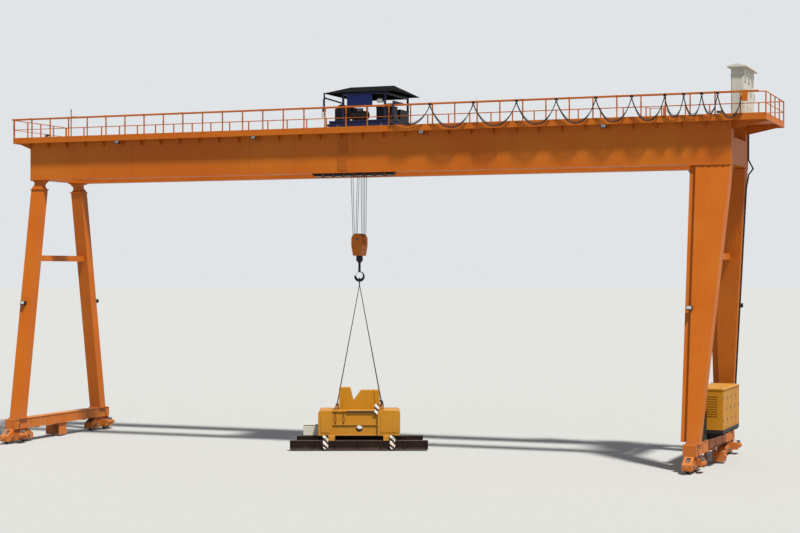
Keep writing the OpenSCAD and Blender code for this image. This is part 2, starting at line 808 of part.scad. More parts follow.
module ladder_cage() {
    color(orange) {
        cage(cage_step, (landing_z - sill_top) / cos(lean) - 500);
        cage((landing_z - sill_top) / cos(lean) + cage_step, leg_len - 1000);
    }
}

// A landing on the far rigid leg with a hatch for the ladder
top_landing_z = clear_height - landing_drop;
landing_len = landing_in + landing_out;
hatch_len = 850;
module landing(z) {
    plate = 50;
    face = leg_outer(z - plate, rigid_t) + pin_gap;
    reach = leg_outer(z, rigid_t) + landing_reach - face;
    difference() {
        translate([-landing_in, face, 0]) {
            translate([0, 0, z - plate]) cube([landing_len, reach, plate]);
            for (x = [0, landing_len - fascia_t]) translate([x, landing_root, z - landing_edge])
                cube([fascia_t, reach - landing_root, landing_edge]);
            translate([0, reach - fascia_t, z - landing_edge])
                cube([landing_len, fascia_t, landing_edge]);
        }
        translate([ladder_x - cage_r, face + 90, z - landing_edge - eps])
            cube([2 * cage_r, hatch_len, 2 * landing_edge]);
    }
}

landing_root = 140;
module ladder_landings() {
    color(orange) translate([x_rigid, 0, 0]) {
        landing(landing_z);
        landing(top_landing_z);
    }
}

// Rail round a landing: along its front, along its outer end, and from y0 along its inner end
module landing_rail(z, y0) {
    face = leg_outer(z, rigid_t);
    edge = face + landing_reach - fascia_t / 2;
    start = face + 420;
    stop = edge - post_w / 2;
    translate([-landing_in, edge, z]) handrail(landing_len);
    translate([landing_out - post_w / 2, start, z]) rotate([0, 0, 90]) handrail(stop - start);
    translate([-landing_in + post_w / 2, max(start, y0), z]) rotate([0, 0, 90])
        handrail(stop - max(start, y0));
}

module landing_rails() {
    color(orange) translate([x_rigid, 0, 0]) {
        landing_rail(landing_z, 0);
        landing_rail(top_landing_z, stair_y + stair_w + 60);
    }
}

// Steep stair along the far girder, from the top landing up to the walkway
stair_x0 = x_rigid - landing_in + 20;
stair_x1 = stair_x0 - stair_run;
stair_y = walk_edge + 20;
stringer_t = 20;
stringer_h = 60;
module access_stair() {
    rise = (deck_top - top_landing_z) / risers;
    go = stair_run / (risers - 1);
    tread = 30;
    slope = atan2(deck_top - top_landing_z, stair_run);
    along = norm([stair_run, deck_top - top_landing_z]);
    color(orange) {
        for (dy = [0, stair_w - stringer_t]) translate([0, stair_y + dy + stringer_t, 0])
            rotate([90, 0, 0]) linear_extrude(stringer_t) polygon([
                [stair_x0 + 30, top_landing_z + pin_gap], [stair_x0 - 160, top_landing_z + pin_gap],
                [stair_x1 - 100, deck_top - stringer_h], [stair_x1 - stair_top, deck_top - stringer_h],
                [stair_x1 - stair_top, deck_top + stringer_h], [stair_x1 + 40, deck_top + stringer_h]
            ]);
        for (i = [1 : risers - 1])
            translate([stair_x0 - i * go - 20, stair_y + stringer_t / 2, top_landing_z + i * rise - tread])
                cube([go + 60, stair_w - stringer_t, tread]);
        translate([stair_x1 - stair_top, walk_edge, deck_top - tread])
            cube([stair_top, stair_w + stringer_t, tread]);
        // Handrail on the open side: a sloping run and a level one
        translate([0, stair_y + stair_w - stringer_t / 2, 0]) {
            for (h = [hand_h / 2, hand_h - top_d / 2])
                translate([stair_x0 + 30, 0, top_landing_z + h]) rotate([0, slope - 90, 0])
                    cylinder(d = mid_d, h = along + 60);
            for (k = [0.02, 0.5, 0.98])
                translate([stair_x0 - k * stair_run, 0, top_landing_z + 40 + k * (deck_top - top_landing_z)])
                    block([post_w, stringer_t, hand_h - 20]);
            translate([stair_x1 - stair_top, 0, deck_top - tread]) {
                for (x = [0, stair_top - post_w])
                    translate([x, -stringer_t / 2, 0]) cube([post_w, stringer_t, hand_h]);
                for (h = [hand_h / 2, hand_h - top_d / 2]) translate([0, 0, h]) {
                    rotate([0, 90, 0]) cylinder(d = mid_d, h = stair_top);
                    translate([post_w / 2, 0, 0]) rotate([90, 0, 0])
                        cylinder(d = mid_d, h = stair_w - stringer_t);
                }
            }
        }
    }
}

module wheel(i) {
    x = i < 4 ? x_rigid : x_flex;
    y = (i % 4 < 2 ? -1 : 1) * bogie_y + (i % 2 == 0 ? -1 : 1) * wheel_base / 2;
    rim = 26;
    dish = 34;
    hub_d = 200;
    end = 45;
    color(steel) translate([x, y, axle_z]) rotate([90, 0, 90]) {
        rotate_extrude() polygon([
            [0, -wheel_w / 2], [hub_d / 2, -wheel_w / 2], [hub_d / 2 + 20, dish - wheel_w / 2],
            [wheel_d / 2 - 60, dish - wheel_w / 2], [wheel_d / 2 - 40, -wheel_w / 2],
            [wheel_d / 2 + wheel_flange, -wheel_w / 2], [wheel_d / 2 + wheel_flange, rim - wheel_w / 2],
            [wheel_d / 2, rim - wheel_w / 2], [wheel_d / 2, wheel_w / 2 - rim],
            [wheel_d / 2 + wheel_flange, wheel_w / 2 - rim], [wheel_d / 2 + wheel_flange, wheel_w / 2],
            [wheel_d / 2 - 40, wheel_w / 2], [wheel_d / 2 - 60, wheel_w / 2 - dish],
            [hub_d / 2 + 20, wheel_w / 2 - dish], [hub_d / 2, wheel_w / 2], [0, wheel_w / 2]
        ]);
        cylinder(d = axle_d, h = bogie_w + 2 * end, center = true);
    }
}

// A gear box on the bogie with a motor standing out of it, one on each bogie
module travel_drives() {
    reach = 400;
    case = 300;
    motor_d = 230;
    color(orange) for (x = [x_flex, x_rigid]) for (s = [-1, 1]) side(s)
        translate([x + bogie_w / 2 + pin_gap, bogie_y - case / 2, axle_z - 90]) {
            translate([-35, 0, 0]) cube([reach - 60, case, 330]);
            // Motor with its cooling cowl, and the fan cover at its end
            translate([reach - motor_d / 2, case, 180]) rotate([-90, 0, 0]) {
                translate([0, 0, -case / 2]) cylinder(d = motor_d, h = 420 + case / 2);
                for (k = [0 : 5]) translate([0, 0, 40 + 50 * k])
                    cylinder(d = motor_d + 24, h = 24);
                translate([0, 0, 420]) cylinder(d = motor_d - 30, h = 60);
            }
        }
}

module rail_clamps() {
    wall = 40;
    arm = 480;
    color(orange) for (out = [0, 1]) translate([out ? x_flex : x_rigid, 0, clamp_z]) mirror([out, 0, 0]) {
        difference() {
            block([clamp_w, clamp_len, sill_bottom - clamp_z]);
            translate([0, 0, -eps])
                block([clamp_w - 2 * wall, 2 * clamp_len, sill_bottom - clamp_z - 3 * wall]);
        }
        // Closing cylinder on the outer side of the crane, in its housing
        translate([clamp_w / 2 - eps, -clamp_len * 0.35, 0]) cube([arm, clamp_len * 0.7, arm]);
        translate([clamp_w / 2 + arm - 40, 0, arm / 2]) rotate([0, 90, 0]) cylinder(d = 200, h = 100);
    }
}

// The supply cable from the end of the far girder down the far rigid leg to the generator
cable_d = 70;
module power_cable() {
    out = cable_d / 2 + 4 + pin_gap;
    side_y = girder_gap / 2 + 200;
    function down(z) = [x_rigid + out + leg_out(z), leg_y(z), z];
    route = [
        [girder_x1 + out, side_y, girder_top - 300],
        [girder_x1 + out, side_y, clear_height + 400],
        [girder_x1 + 250, side_y, clear_height],
        [girder_x1 + out, side_y + 40, clear_height - 260],
        down(clear_height - 900), down(8000), down(3000),
        [gen_x + 300, gen_len / 2 + 900, 2500],
        [gen_x + 300, gen_len / 2 + 20, 2300]
    ];
    color(dark) for (i = [0 : len(route) - 2]) {
        bar(route[i], route[i + 1], cable_d);
        if (i > 0) translate(route[i]) sphere(d = cable_d + 8);
    }
}

module generator_base() {
    deck = 160;
    color(dark) translate([gen_x, 0, sill_top]) {
        translate([0, 0, gen_base_h - deck]) block([gen_w, gen_len, deck]);
        // Cross members on the sill, each a pair of brackets that carries the overhang
        for (y = [-0.42, -0.14, 0.14, 0.42] * gen_len) translate([0, y, 0]) rotate([90, 0, 0])
            linear_extrude(80, center = true) polygon([
                [-gen_off - sill_w / 2, 0], [-gen_off + sill_w / 2, 0],
                [gen_w / 2, gen_base_h - deck - 60], [gen_w / 2, gen_base_h - deck],
                [-gen_w / 2, gen_base_h - deck], [-gen_w / 2, gen_base_h - deck - 60]
            ]);
        translate([-gen_off, 0, 0]) block([sill_w - 100, 0.84 * gen_len, gen_base_h - deck]);
    }
}

module generator_housing() {
    cap = 70;
    lip = 25;
    sunk = 12;
    frame = 60;
    doors = 4;
    door = (gen_len - frame) / doors;
    slats = 9;
    color(yellow) translate([gen_x, 0, gen_z]) {
        difference() {
            block([gen_w, gen_len, gen_h - cap]);
            // Door seams along both sides
            for (x = [-1, 1] * gen_w / 2) for (i = [0 : doors - 1])
                translate([x, (i + 0.5) * door - (gen_len - frame) / 2, frame]) difference() {
                    block([2 * sunk, door - frame / 2, gen_h - cap - 2 * frame]);
                    translate([0, 0, sunk])
                        block([3 * sunk, door - frame / 2 - 2 * sunk, gen_h - cap - 2 * frame - 2 * sunk]);
                }
            // Louvres at the air end and the radiator end
            for (y = [-1, 1] * gen_len / 2) for (i = [0 : slats - 1])
                translate([0, y, gen_h * (0.3 + 0.06 * i)])
                    block([gen_w * 0.6, 4 * sunk, gen_h * 0.03]);
        }
        translate([0, 0, gen_h - cap]) rotate([90, 0, 0])
            linear_extrude(gen_len + 2 * lip, center = true) polygon([
                [-gen_w / 2 - lip, 0], [gen_w / 2 + lip, 0], [gen_w / 2 + lip, cap / 2],
                [gen_w / 2 - cap, cap], [-gen_w / 2 + cap, cap], [-gen_w / 2 - lip, cap / 2]
            ]);
    }
}

module control_cabinet() {
    hood = 40;
    seam = 10;
    color(dark) translate([x_rigid, -gen_len / 2 - 30 - box_len / 2, sill_top]) {
        block([box_w - 2 * seam, box_len - 2 * seam, box_h - hood]);
        translate([0, 0, 2 * hood]) block([box_w, box_len - 2 * hood, box_h - 4 * hood]);
        translate([0, 0, box_h - hood]) block([box_w + hood, box_len, hood]);
    }
}

module trolley_frame() {
    inner = 2 * rail_y - trolley_beam_w;
    cover = 24;
    color(navy) translate([x_trolley, 0, trolley_z]) difference() {
        union() {
            for (y = [-rail_y, rail_y]) translate([0, y, 0]) {
                block([trolley_len, trolley_web, trolley_beam_h]);
                for (z = [0, trolley_beam_h - cover]) translate([0, 0, z])
                    block([trolley_len, trolley_beam_w, cover]);
                for (k = [-2 : 2]) translate([k * trolley_len / 5.6, 0, 0])
                    block([rib_t, trolley_beam_w - 20, trolley_beam_h]);
            }
            for (x = [-1, 1] * (trolley_len / 2 - 180))
                translate([x, 0, 0]) block([260, inner, trolley_beam_h]);
            translate([0, 0, trolley_beam_h])
                block([trolley_len, 2 * rail_y + trolley_beam_w, plate_deck]);
        }
        translate([hook_x, 0, 0]) block([slot_x, slot_y, 2 * trolley_beam_h]);
        for (x = [-1, 1] * trolley_base / 2) for (y = [-rail_y, rail_y]) {
            translate([x, y, -eps])
                block([trolley_wheel + 40, 130, trolley_wheel - 40]);
            translate([x, y - trolley_beam_w, trolley_axle_z - trolley_z]) rotate([-90, 0, 0])
                cylinder(d = trolley_axle, h = 2 * trolley_beam_w);
        }
    }
}

module trolley_wheels() {
    tread = 80;
    flange = 12;
    color(steel) for (x = [-1, 1] * trolley_base / 2) for (y = [-1, 1])
        translate([x_trolley + x, y * rail_y, trolley_axle_z]) rotate([-90, 0, 0]) {
            cylinder(d = trolley_wheel, h = tread, center = true);
            for (k = [-1, 1] * (tread + flange) / 2) translate([0, 0, k])
                cylinder(d = trolley_wheel + 2 * flange, h = flange, center = true);
            cylinder(d = trolley_axle, h = trolley_beam_w + 20, center = true);
        }
}

module hoist_drum() {
    flange = 20;
    lay = 90;
    groove = 6;
    turns = floor((drum_len / 2 - 2 * flange - 150) / lay);
    color(dark) translate([drum_x, 0, drum_z]) rotate([-90, 0, 0]) difference() {
        union() {
            cylinder(d = drum_d, h = drum_len, center = true);
            for (k = [-1, 1] * (drum_len - flange) / 2) translate([0, 0, k])
                cylinder(d = drum_d + 90, h = flange, center = true);
        }
        // Rope grooves, wound in from both ends towards the plain middle
        for (s = [-1, 1]) for (k = [0 : turns - 1])
            translate([0, 0, s * (drum_len / 2 - 2 * flange - k * lay)]) rotate_extrude()
                translate([drum_d / 2 + groove, 0]) circle(d = rope_d + groove, $fn = 4);
    }
    color(navy) for (y = [-1, 1] * (drum_len / 2 + 60)) translate([drum_x, y, trolley_deck + plate_deck])
        rotate([90, 0, 0]) linear_extrude(100, center = true) polygon([
            [-260, 0], [260, 0], [260, 40], [130, 200], [130, drum_z - trolley_deck + 70],
            [-130, drum_z - trolley_deck + 70], [-130, 200], [-260, 40]
        ]);
    color(dark) translate([drum_x, 0, drum_z]) rotate([-90, 0, 0])
        cylinder(d = 120, h = drum_len + 260, center = true);
}

module hoist_machinery() {
    z = trolley_deck + plate_deck;
    reducer_y = drum_len / 2 + 60 + 80;
    motor_d = 400;
    color(dark) {
        // Reducer on the near end of the drum shaft, its motor and the brake between them
        translate([drum_x + 170, -reducer_y - 130, z]) block([720, 230, 620]);
        translate([drum_x + 170, -reducer_y - 130, z + 620]) rotate([90, 0, 0])
            cylinder(d = 420, h = 230, center = true);
        translate([drum_x + 520, -reducer_y - 130, z + 260]) rotate([0, 90, 0]) {
            cylinder(d = 300, h = 160);
            translate([0, 0, 160]) cylinder(d = motor_d, h = 760);
            for (k = [0 : 7]) translate([0, 0, 220 + 80 * k]) cylinder(d = motor_d + 30, h = 30);
            translate([0, 0, 920]) cylinder(d = motor_d - 60, h = 90);
        }
        translate([drum_x + 1060, -reducer_y - 130, z]) block([620, 300, 80]);
        // Control desks on the outer half of the deck
        translate([x_trolley + 1060, -700, z]) block([900, 500, 640]);
        translate([x_trolley + 1060, -700, z + 640]) block([940, 540, 40]);
        translate([x_trolley + 1060, 500, z]) block([900, 1100, 560]);
        translate([x_trolley + 1060, 500, z + 560]) block([940, 1140, 40]);
    }
}

// Hip roof: the part common to a long and a cross gable
module hip(drop) {
    slope = (canopy_x - ridge_x) / 2;
    translate([0, 0, -drop]) intersection() {
        rotate([90, 0, 90]) linear_extrude(2 * canopy_x, center = true)
            polygon([[-canopy_y / 2, 0], [canopy_y / 2, 0], [0, roof_rise]]);
        rotate([90, 0, 0]) linear_extrude(2 * canopy_y, center = true)
            polygon([[-canopy_x / 2, 0], [canopy_x / 2, 0],
                     [canopy_x / 2 - slope, roof_rise], [slope - canopy_x / 2, roof_rise]]);
    }
}

module canopy_roof() {
    sheet = 50;
    color(navy) translate([x_trolley, 0, canopy_z]) difference() {
        hip(0);
        difference() {
            hip(sheet);
            for (y = [-rail_y, rail_y]) translate([0, y, 0])
                block([canopy_x, canopy_post, roof_rise]);
            for (x = post_x) translate([x, 0, 0])
                block([canopy_post, canopy_y, roof_rise]);
        }
    }
}

screen_h = 560;
screen_len = 1310;
screen_x = -35;
module canopy_posts() {
    post = canopy_post;
    z = trolley_deck + plate_deck;
    long = post_x[1] - post_x[0];
    mid = (post_x[0] + post_x[1]) / 2;
    color(navy) translate([x_trolley, 0, 0]) {
        for (x = post_x) for (y = [-rail_y, rail_y]) {
            translate([x, y, z]) block([post, post, canopy_z - z]);
            translate([x, y, z]) block([2.4 * post, 2.4 * post, 20]);
        }
        for (y = [-rail_y, rail_y]) translate([mid, y, canopy_z - post]) block([long, post, post]);
        for (x = post_x) translate([x, 0, canopy_z - post]) block([post, 2 * rail_y, post]);
        // Weather screen between the posts on the near side
        translate([screen_x, -rail_y, canopy_z - post - screen_h]) block([screen_len, 20, screen_h]);
        for (x = [-1, 0, 1] * (screen_len - 40) / 2)
            translate([screen_x + x, -rail_y, canopy_z - post - screen_h]) block([40, 60, screen_h]);
    }
}

// Arm that tows the festoon over the near handrail, and the one that carries the hoist's limit switch
module trolley_arm() {
    z = deck_top + hand_h + 110;
    bar_w = 60;
    arm_h = 80;
    tow_x = x_mid + carriers[0] - bar_w - pin_gap;
    tow_y = -festoon_y - 90;
    clamp_low = festoon_z - carrier_h - tow_drop - cable_t;
    post = x_trolley + post_x[1] + canopy_post / 2;
    far_post = x_trolley + post_x[0] - canopy_post / 2;
    switch_x = far_post - 965;
    switch_z = canopy_z - 220;
    color(navy) {
        translate([post, -rail_y - bar_w / 2, z]) cube([tow_x + bar_w - post, bar_w, arm_h]);
        translate([tow_x, tow_y, z]) cube([bar_w, -rail_y - tow_y, arm_h]);
        translate([tow_x, tow_y, clamp_low - 20]) cube([bar_w, 20, z - clamp_low + 20]);
        translate([tow_x, tow_y, clamp_low - 20]) cube([bar_w, 90 + cable_w / 2, cable_t + 40]);
        // Arm of the hoist's limit switch, with the switch box at the foot of its upright
        translate([switch_x, -rail_y + bar_w / 2, switch_z]) rotate([90, 0, 0])
            linear_extrude(bar_w) polygon([
                [0, 0], [far_post - switch_x, -300], [far_post - switch_x, arm_h - 300], [0, arm_h]
            ]);
        translate([switch_x, -rail_y, switch_z - 520]) block([bar_w, bar_w, 800]);
        translate([switch_x, -rail_y, switch_z - 640]) block([2 * bar_w, 2 * bar_w, 160]);
    }
}

drum_falls = [-750, -420, 420, 750];
top_falls = [-420, -130, 130, 420];
sheave_y = [-255, -85, 85, 255];
sheave_w = 90;
sheave_z = block_top - 300;
sheave_axle = 120;
module hoist_ropes() {
    color(dark) for (i = [0 : 3]) {
        drum_end = i == 0 || i == 3;
        bar([hook_at - fall_x, sheave_y[i], sheave_z],
            [hook_at - fall_x, drum_falls[i], drum_end ? drum_z : top_sheave_z], rope_d);
        bar([hook_at + fall_x, sheave_y[i], sheave_z],
            [hook_at + fall_x, top_falls[i], top_sheave_z], rope_d);
    }
}

// A rope sheave along Z: grooved rim, thin web and hub
module sheave() {
    r = sheave_d / 2;
    rim = 45;
    web = 16;
    hub = 100;
    rotate_extrude() polygon([
        [0, -sheave_w / 2], [hub, -sheave_w / 2], [hub, -web / 2], [r - rim, -web / 2],
        [r - rim, -sheave_w / 2], [r + rope_d / 2, -sheave_w / 2], [r + rope_d / 2, 8 - sheave_w / 2],
        [r - pin_gap, -rope_d / 4], [r - pin_gap, rope_d / 4],
        [r + rope_d / 2, sheave_w / 2 - 8], [r + rope_d / 2, sheave_w / 2],
        [r - rim, sheave_w / 2], [r - rim, web / 2], [hub, web / 2], [hub, sheave_w / 2], [0, sheave_w / 2]
    ]);
}

// Fixed sheaves on an axle across the rope slot of the trolley
module top_sheaves() {
    color(dark) translate([hook_at, 0, top_sheave_z]) rotate([90, 0, 0]) {
        for (y = top_falls) translate([0, 0, y]) sheave();
        cylinder(d = sheave_axle, h = 2 * rail_y - trolley_web, center = true);
    }
}

module block_sheaves() {
    color(dark) translate([hook_at, 0, sheave_z]) rotate([90, 0, 0]) {
        for (y = sheave_y) translate([0, 0, y]) sheave();
        cylinder(d = sheave_axle, h = block_y + 60, center = true);
    }
}

// Rounded cheek plates between the sheaves, joined by a crosshead below them
module hook_block() {
    round_r = block_x / 2;
    cross_top = sheave_z - sheave_d / 2 - rope_d / 2 - 20;
    gap = sheave_w + 8;
    color(orange) translate([hook_at, 0, 0]) difference() {
        translate([0, block_y / 2, 0]) rotate([90, 0, 0]) linear_extrude(block_y) difference() {
            union() {
                translate([0, block_top - round_r]) circle(round_r);
                polygon([[90 - round_r, block_z], [round_r - 90, block_z],
                         [round_r, cross_top - 60], [round_r, block_top - round_r],
                         [-round_r, block_top - round_r], [-round_r, cross_top - 60]]);
            }
            translate([0, sheave_z]) circle(d = sheave_axle);
        }
        for (y = sheave_y) translate([0, y, cross_top]) block([2 * block_x, gap, block_h]);
    }
}

module in_load() {
    translate([hook_at, 0, 0]) rotate([0, 0, load_turn]) children();
}

// Forged hook: a crescent between two circles, on a shank that turns in a bearing housing
hook_r = 165;
hook_back = 150;
hook_t = 120;
hook_c = block_z - 970;
module hook() {
    out_r = hook_r + hook_back * 0.62;
    off = hook_back * 0.38;
    housing = 260;
    color(dark) in_load() {
        translate([0, 0, block_z - pin_gap - housing]) {
            cylinder(d = 330, h = housing);
            translate([0, 0, -90]) cylinder(d1 = 170, d2 = 240, h = 91);
        }
        translate([0, 0, hook_c + hook_r]) cylinder(d = hook_t, h = block_z - hook_c - hook_r - housing);
        translate([0, hook_t / 2, hook_c]) rotate([90, 0, 0]) linear_extrude(hook_t) difference() {
            union() {
                translate([0, -off]) circle(out_r);
                translate([-hook_t / 2, 0]) square([hook_t, out_r + 60]);
            }
            circle(hook_r);
            polygon([[0, 0], [-2 * out_r, -0.1 * out_r], [-2 * out_r, 2 * out_r],
                     [-hook_t / 2, 2 * out_r], [-hook_t / 2, hook_r]]);
        }
    }
}

// Ring in the hook and four legs to the lugs on the body
link_wire = 56;
link_r = 170;
// The ring rests on the two edges of the hook
link_in = link_r - link_wire / 2;
link_c = hook_c - hook_r - sqrt(link_in * link_in - hook_t * hook_t / 4) + 3 * pin_gap;
lug_x = 1120;
lug_y = 700;
lug_h = 130;
lug_t = 60;
leg_d = 34;
leg_in_ring = 45;
leg_step = 25;
module slings() {
    color(dark) in_load() {
        translate([0, 0, link_c]) rotate([0, 90, 0]) rotate_extrude() translate([link_r, 0])
            circle(d = link_wire);
        for (x = [-1, 1]) for (y = [-1, 1]) let (at = (leg_in_ring + leg_step * x) * y) {
            bar([0, at, link_c - sqrt(link_r * link_r - at * at)],
                [x * lug_x, y * lug_y, head_z + lug_h], leg_d);
            translate([x * lug_x, y * lug_y, head_z + lug_h]) rotate([90, 0, 0])
                cylinder(d = 2 * leg_d + 20, h = lug_t, center = true);
        }
    }
}

// Two I-beams with stiffeners and end plates
module spreader_beam(long) {
    flange = 26;
    web = 30;
    bays = 6;
    block([long, web, beam_h]);
    for (z = [0, beam_h - flange]) translate([0, 0, z]) block([long, beam_w, flange]);
    for (i = [0 : bays]) translate([(i / bays - 0.5) * (long - rib_t), 0, 0])
        block([rib_t, beam_w - (i % bays == 0 ? 0 : 30), beam_h]);
}

module spreader_beams() {
    color(dark) in_load() {
        translate([0, -beam_gap / 2, beam_z]) spreader_beam(beam_len);
        translate([0, beam_gap / 2, beam_z]) spreader_beam(rear_len);
        // Box of the lock drive on the rear beam
        translate([-2450, beam_gap / 2, beam_z + beam_h - eps]) block([700, 300, 560]);
        // Posts that carry the flippers' hinges
        for (x = [-1, 1] * flipper_x) for (y = [-1, 1] * (beam_gap / 2 + beam_w / 2 - 40))
            translate([x, y, beam_z + beam_h - eps]) block([240, 80, 270]);
    }
}

// Body on cross members, with rounded end boxes and the notched head over its middle
end_box = [700, 1100];
module end_box(long) {
    r = 160;
    rotate([90, 0, 0]) linear_extrude(body_w, center = true) {
        square([long, body_h - r]);
        translate([r, 0]) square([long - 2 * r, body_h]);
        for (x = [r, long - r]) translate([x, body_h - r]) circle(r);
    }
}

module spreader_body() {
    mid0 = -body_len / 2 + end_box[0];
    mid1 = body_len / 2 - end_box[1];
    color(yellow) in_load() {
        for (x = [-1, 1] * body_len / 3) translate([x, 0, beam_z + beam_h])
            block([300, beam_gap + beam_w, cross_h + 10]);
        translate([-body_len / 2, 0, body_z]) end_box(end_box[0]);
        translate([mid1, 0, body_z]) end_box(end_box[1]);
        difference() {
            translate([mid0 - 10, -body_w / 2 + 120, body_z])
                cube([mid1 - mid0 + 20, body_w - 240, body_h]);
            translate([0, body_w, body_z + body_h * 0.27]) rotate([90, 0, 0])
                cylinder(d = 330, h = 2 * body_w);
        }
        for (z = [0, body_h * 0.42, body_h - 50]) translate([mid0 - 10, -body_w / 2 + 60, body_z + z])
            cube([mid1 - mid0 + 20, body_w - 120, 50]);
        // Head with the notch that the hook is lowered beside
        translate([0, head_t / 2, head_z - eps]) rotate([90, 0, 0]) linear_extrude(head_t) polygon([
            [-head_len / 2, 0], [-head_len / 2, head_h], [-0.46 * head_len / 2, head_h],
            [-0.3 * head_len / 2, 0.41 * head_h], [0.04 * head_len, 0.88 * head_h],
            [head_len / 2, 0.88 * head_h], [head_len / 2, 0]
        ]);
        for (x = [-1, 1] * lug_x) for (y = [-1, 1] * (lug_y + lug_t + pin_gap))
            translate([x, y, head_z - eps]) block([160, lug_t, lug_h + 90]);
    }
}

// Guide flippers: four hang down outside the beams and one is swung up behind the body
flipper_x = 1620;
flipper_w = 260;
hinge_w = 110;
raised_x = 1040;
module flipper(lift) {
    rotate([lift, 0, 0]) rotate([90, 0, 0]) linear_extrude(50, center = true) polygon([
        [-flipper_w / 2, 60], [flipper_w / 2, 60], [flipper_w / 2, -480],
        [flipper_w / 4, -600], [-flipper_w / 4, -600], [-flipper_w / 2, -480]
    ]);
    translate([0, 0, -hinge_w / 2]) block([200, hinge_w, hinge_w]);
}

module spreader_flippers() {
    out = beam_gap / 2 + beam_w / 2 + hinge_w / 2;
    hinge_z = beam_z + beam_h + 200;
    color([0.8, 0.8, 0.8]) in_load() {
        for (x = [-1, 1] * flipper_x) for (y = [-1, 1] * out) translate([x, y, hinge_z]) flipper(0);
        translate([raised_x, (body_w + hinge_w) / 2, head_z - 220]) flipper(180);
    }
}

girder(-1);  // girder_near
girder(1);  // girder_far
end_ties();
trolley_rails();
walkway(-1);  // walkway_near
walkway(1);  // walkway_far
end_platforms();
handrail_near();
handrail_far();
handrail_ends();
electrical_cabinet();
festoon_track();
festoon_carriers();
festoon_cable();
floodlights();
mast();
rigid_leg(-1);  // rigid_leg_near
rigid_leg(1);  // rigid_leg_far
flexible_leg(-1);  // flexible_leg_near
flexible_leg(1);  // flexible_leg_far
leg_ties();
sill_beams();
bogies(x_rigid);  // bogies_rigid
bogies(x_flex);  // bogies_flexible
travel_drives();
rail_clamps();
generator_base();
generator_housing();
control_cabinet();
power_cable();
access_ladder();
ladder_cage();
ladder_landings();
landing_rails();
access_stair();
wheel(0);  // wheel_1
wheel(1);  // wheel_2
wheel(2);  // wheel_3
wheel(3);  // wheel_4
wheel(4);  // wheel_5
wheel(5);  // wheel_6
wheel(6);  // wheel_7
wheel(7);  // wheel_8
trolley_frame();
trolley_wheels();
hoist_drum();
top_sheaves();
hoist_machinery();
canopy_roof();
canopy_posts();
trolley_arm();
hoist_ropes();
hook_block();
block_sheaves();
hook();
slings();
spreader_beams();
spreader_body();
spreader_flippers();
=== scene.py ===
# %% [markdown]
# A gantry crane with a hook and a spreader. Two box girders stand on four leaning legs, the legs stand on
# sill beams, and the sill beams roll on eight flanged steel wheels. A trolley runs on top and lowers a hook
# block, which carries the spreader. The solid model already has every piece at its real size, in metres, so
# this lesson is about the last step: what the steel, paint, rope and rubber look like, and the small
# fittings on them. The first cell loads that solid model as a fixed frame.

# %% Load the frame
import math

import bpy
from mathutils import Matrix, Vector


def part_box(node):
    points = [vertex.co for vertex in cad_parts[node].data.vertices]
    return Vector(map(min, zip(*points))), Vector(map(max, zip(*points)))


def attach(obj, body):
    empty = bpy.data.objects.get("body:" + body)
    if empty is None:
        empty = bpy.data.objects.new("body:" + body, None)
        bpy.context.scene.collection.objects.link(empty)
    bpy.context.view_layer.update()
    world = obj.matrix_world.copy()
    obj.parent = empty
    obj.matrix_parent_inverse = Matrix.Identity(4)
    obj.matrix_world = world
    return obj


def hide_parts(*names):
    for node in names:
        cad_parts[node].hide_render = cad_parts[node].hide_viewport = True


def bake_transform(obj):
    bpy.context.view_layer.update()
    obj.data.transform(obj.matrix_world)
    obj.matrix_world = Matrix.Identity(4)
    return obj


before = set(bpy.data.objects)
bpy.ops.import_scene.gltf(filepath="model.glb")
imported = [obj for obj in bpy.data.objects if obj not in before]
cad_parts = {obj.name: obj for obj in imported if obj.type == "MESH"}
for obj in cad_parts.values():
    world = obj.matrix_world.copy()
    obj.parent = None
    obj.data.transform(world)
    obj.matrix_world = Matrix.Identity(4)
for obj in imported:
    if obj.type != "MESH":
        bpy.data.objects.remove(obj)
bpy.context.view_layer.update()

# %% [markdown]
# The crane is seen from a little above half the height of its legs and about 83 m away, so the far legs show
# between the near ones and the undersides of the girders just show. The camera stands at that place. Coming
# closer would change how the legs overlap, so the camera stays there, and a longer lens turns towards the
# crane and fills the frame.

# %% The camera
eye = Vector((31.68, -76.71, 8.66))
aim = Vector((1.25, 0.0, 8.95))
lens, film_width, sight = 76.0, 36.0, 2000.0

bpy.ops.object.camera_add(location=eye, rotation=(aim - eye).to_track_quat("-Z", "Y").to_euler())
camera = bpy.context.object
camera.data.lens = lens
camera.data.sensor_width = film_width
camera.data.clip_end = sight
bpy.context.scene.camera = camera
print("camera to crane", round((aim - eye).length, 1), "m")

# %% [markdown]
# Everything below is set with the same few habits. Colours are written as sRGB hex, as a paint card gives
# them, and one function turns them to the linear values that the shader needs. One more function adds a
# node with its settings and links, so that a material reads as a list of what it is made of.

# %% Colour and node helpers
def colour(code):
    """The linear colour of an sRGB hex code such as D2721C"""
    values = [int(code[i:i + 2], 16) / 255 for i in (0, 2, 4)]
    return (*[v / 12.92 if v <= 0.04045 else ((v + 0.055) / 1.055) ** 2.4 for v in values], 1.0)


def link(material, source, node, socket):
    """Joins an output, or the first output of a node, to another node's socket"""
    output = source.outputs[0] if isinstance(source, bpy.types.Node) else source
    material.node_tree.links.new(output, node.inputs[socket])


def add(material, kind, sockets=None, **settings):
    """A new node; settings are its fields, and sockets its inputs: values, or nodes or outputs to link"""
    node = material.node_tree.nodes.new("ShaderNode" + kind)
    for field, value in settings.items():
        setattr(node, field, value)
    for socket, value in (sockets or {}).items():
        if isinstance(value, (bpy.types.Node, bpy.types.NodeSocket)):
            link(material, value, node, socket)
        else:
            node.inputs[socket].default_value = value
    return node


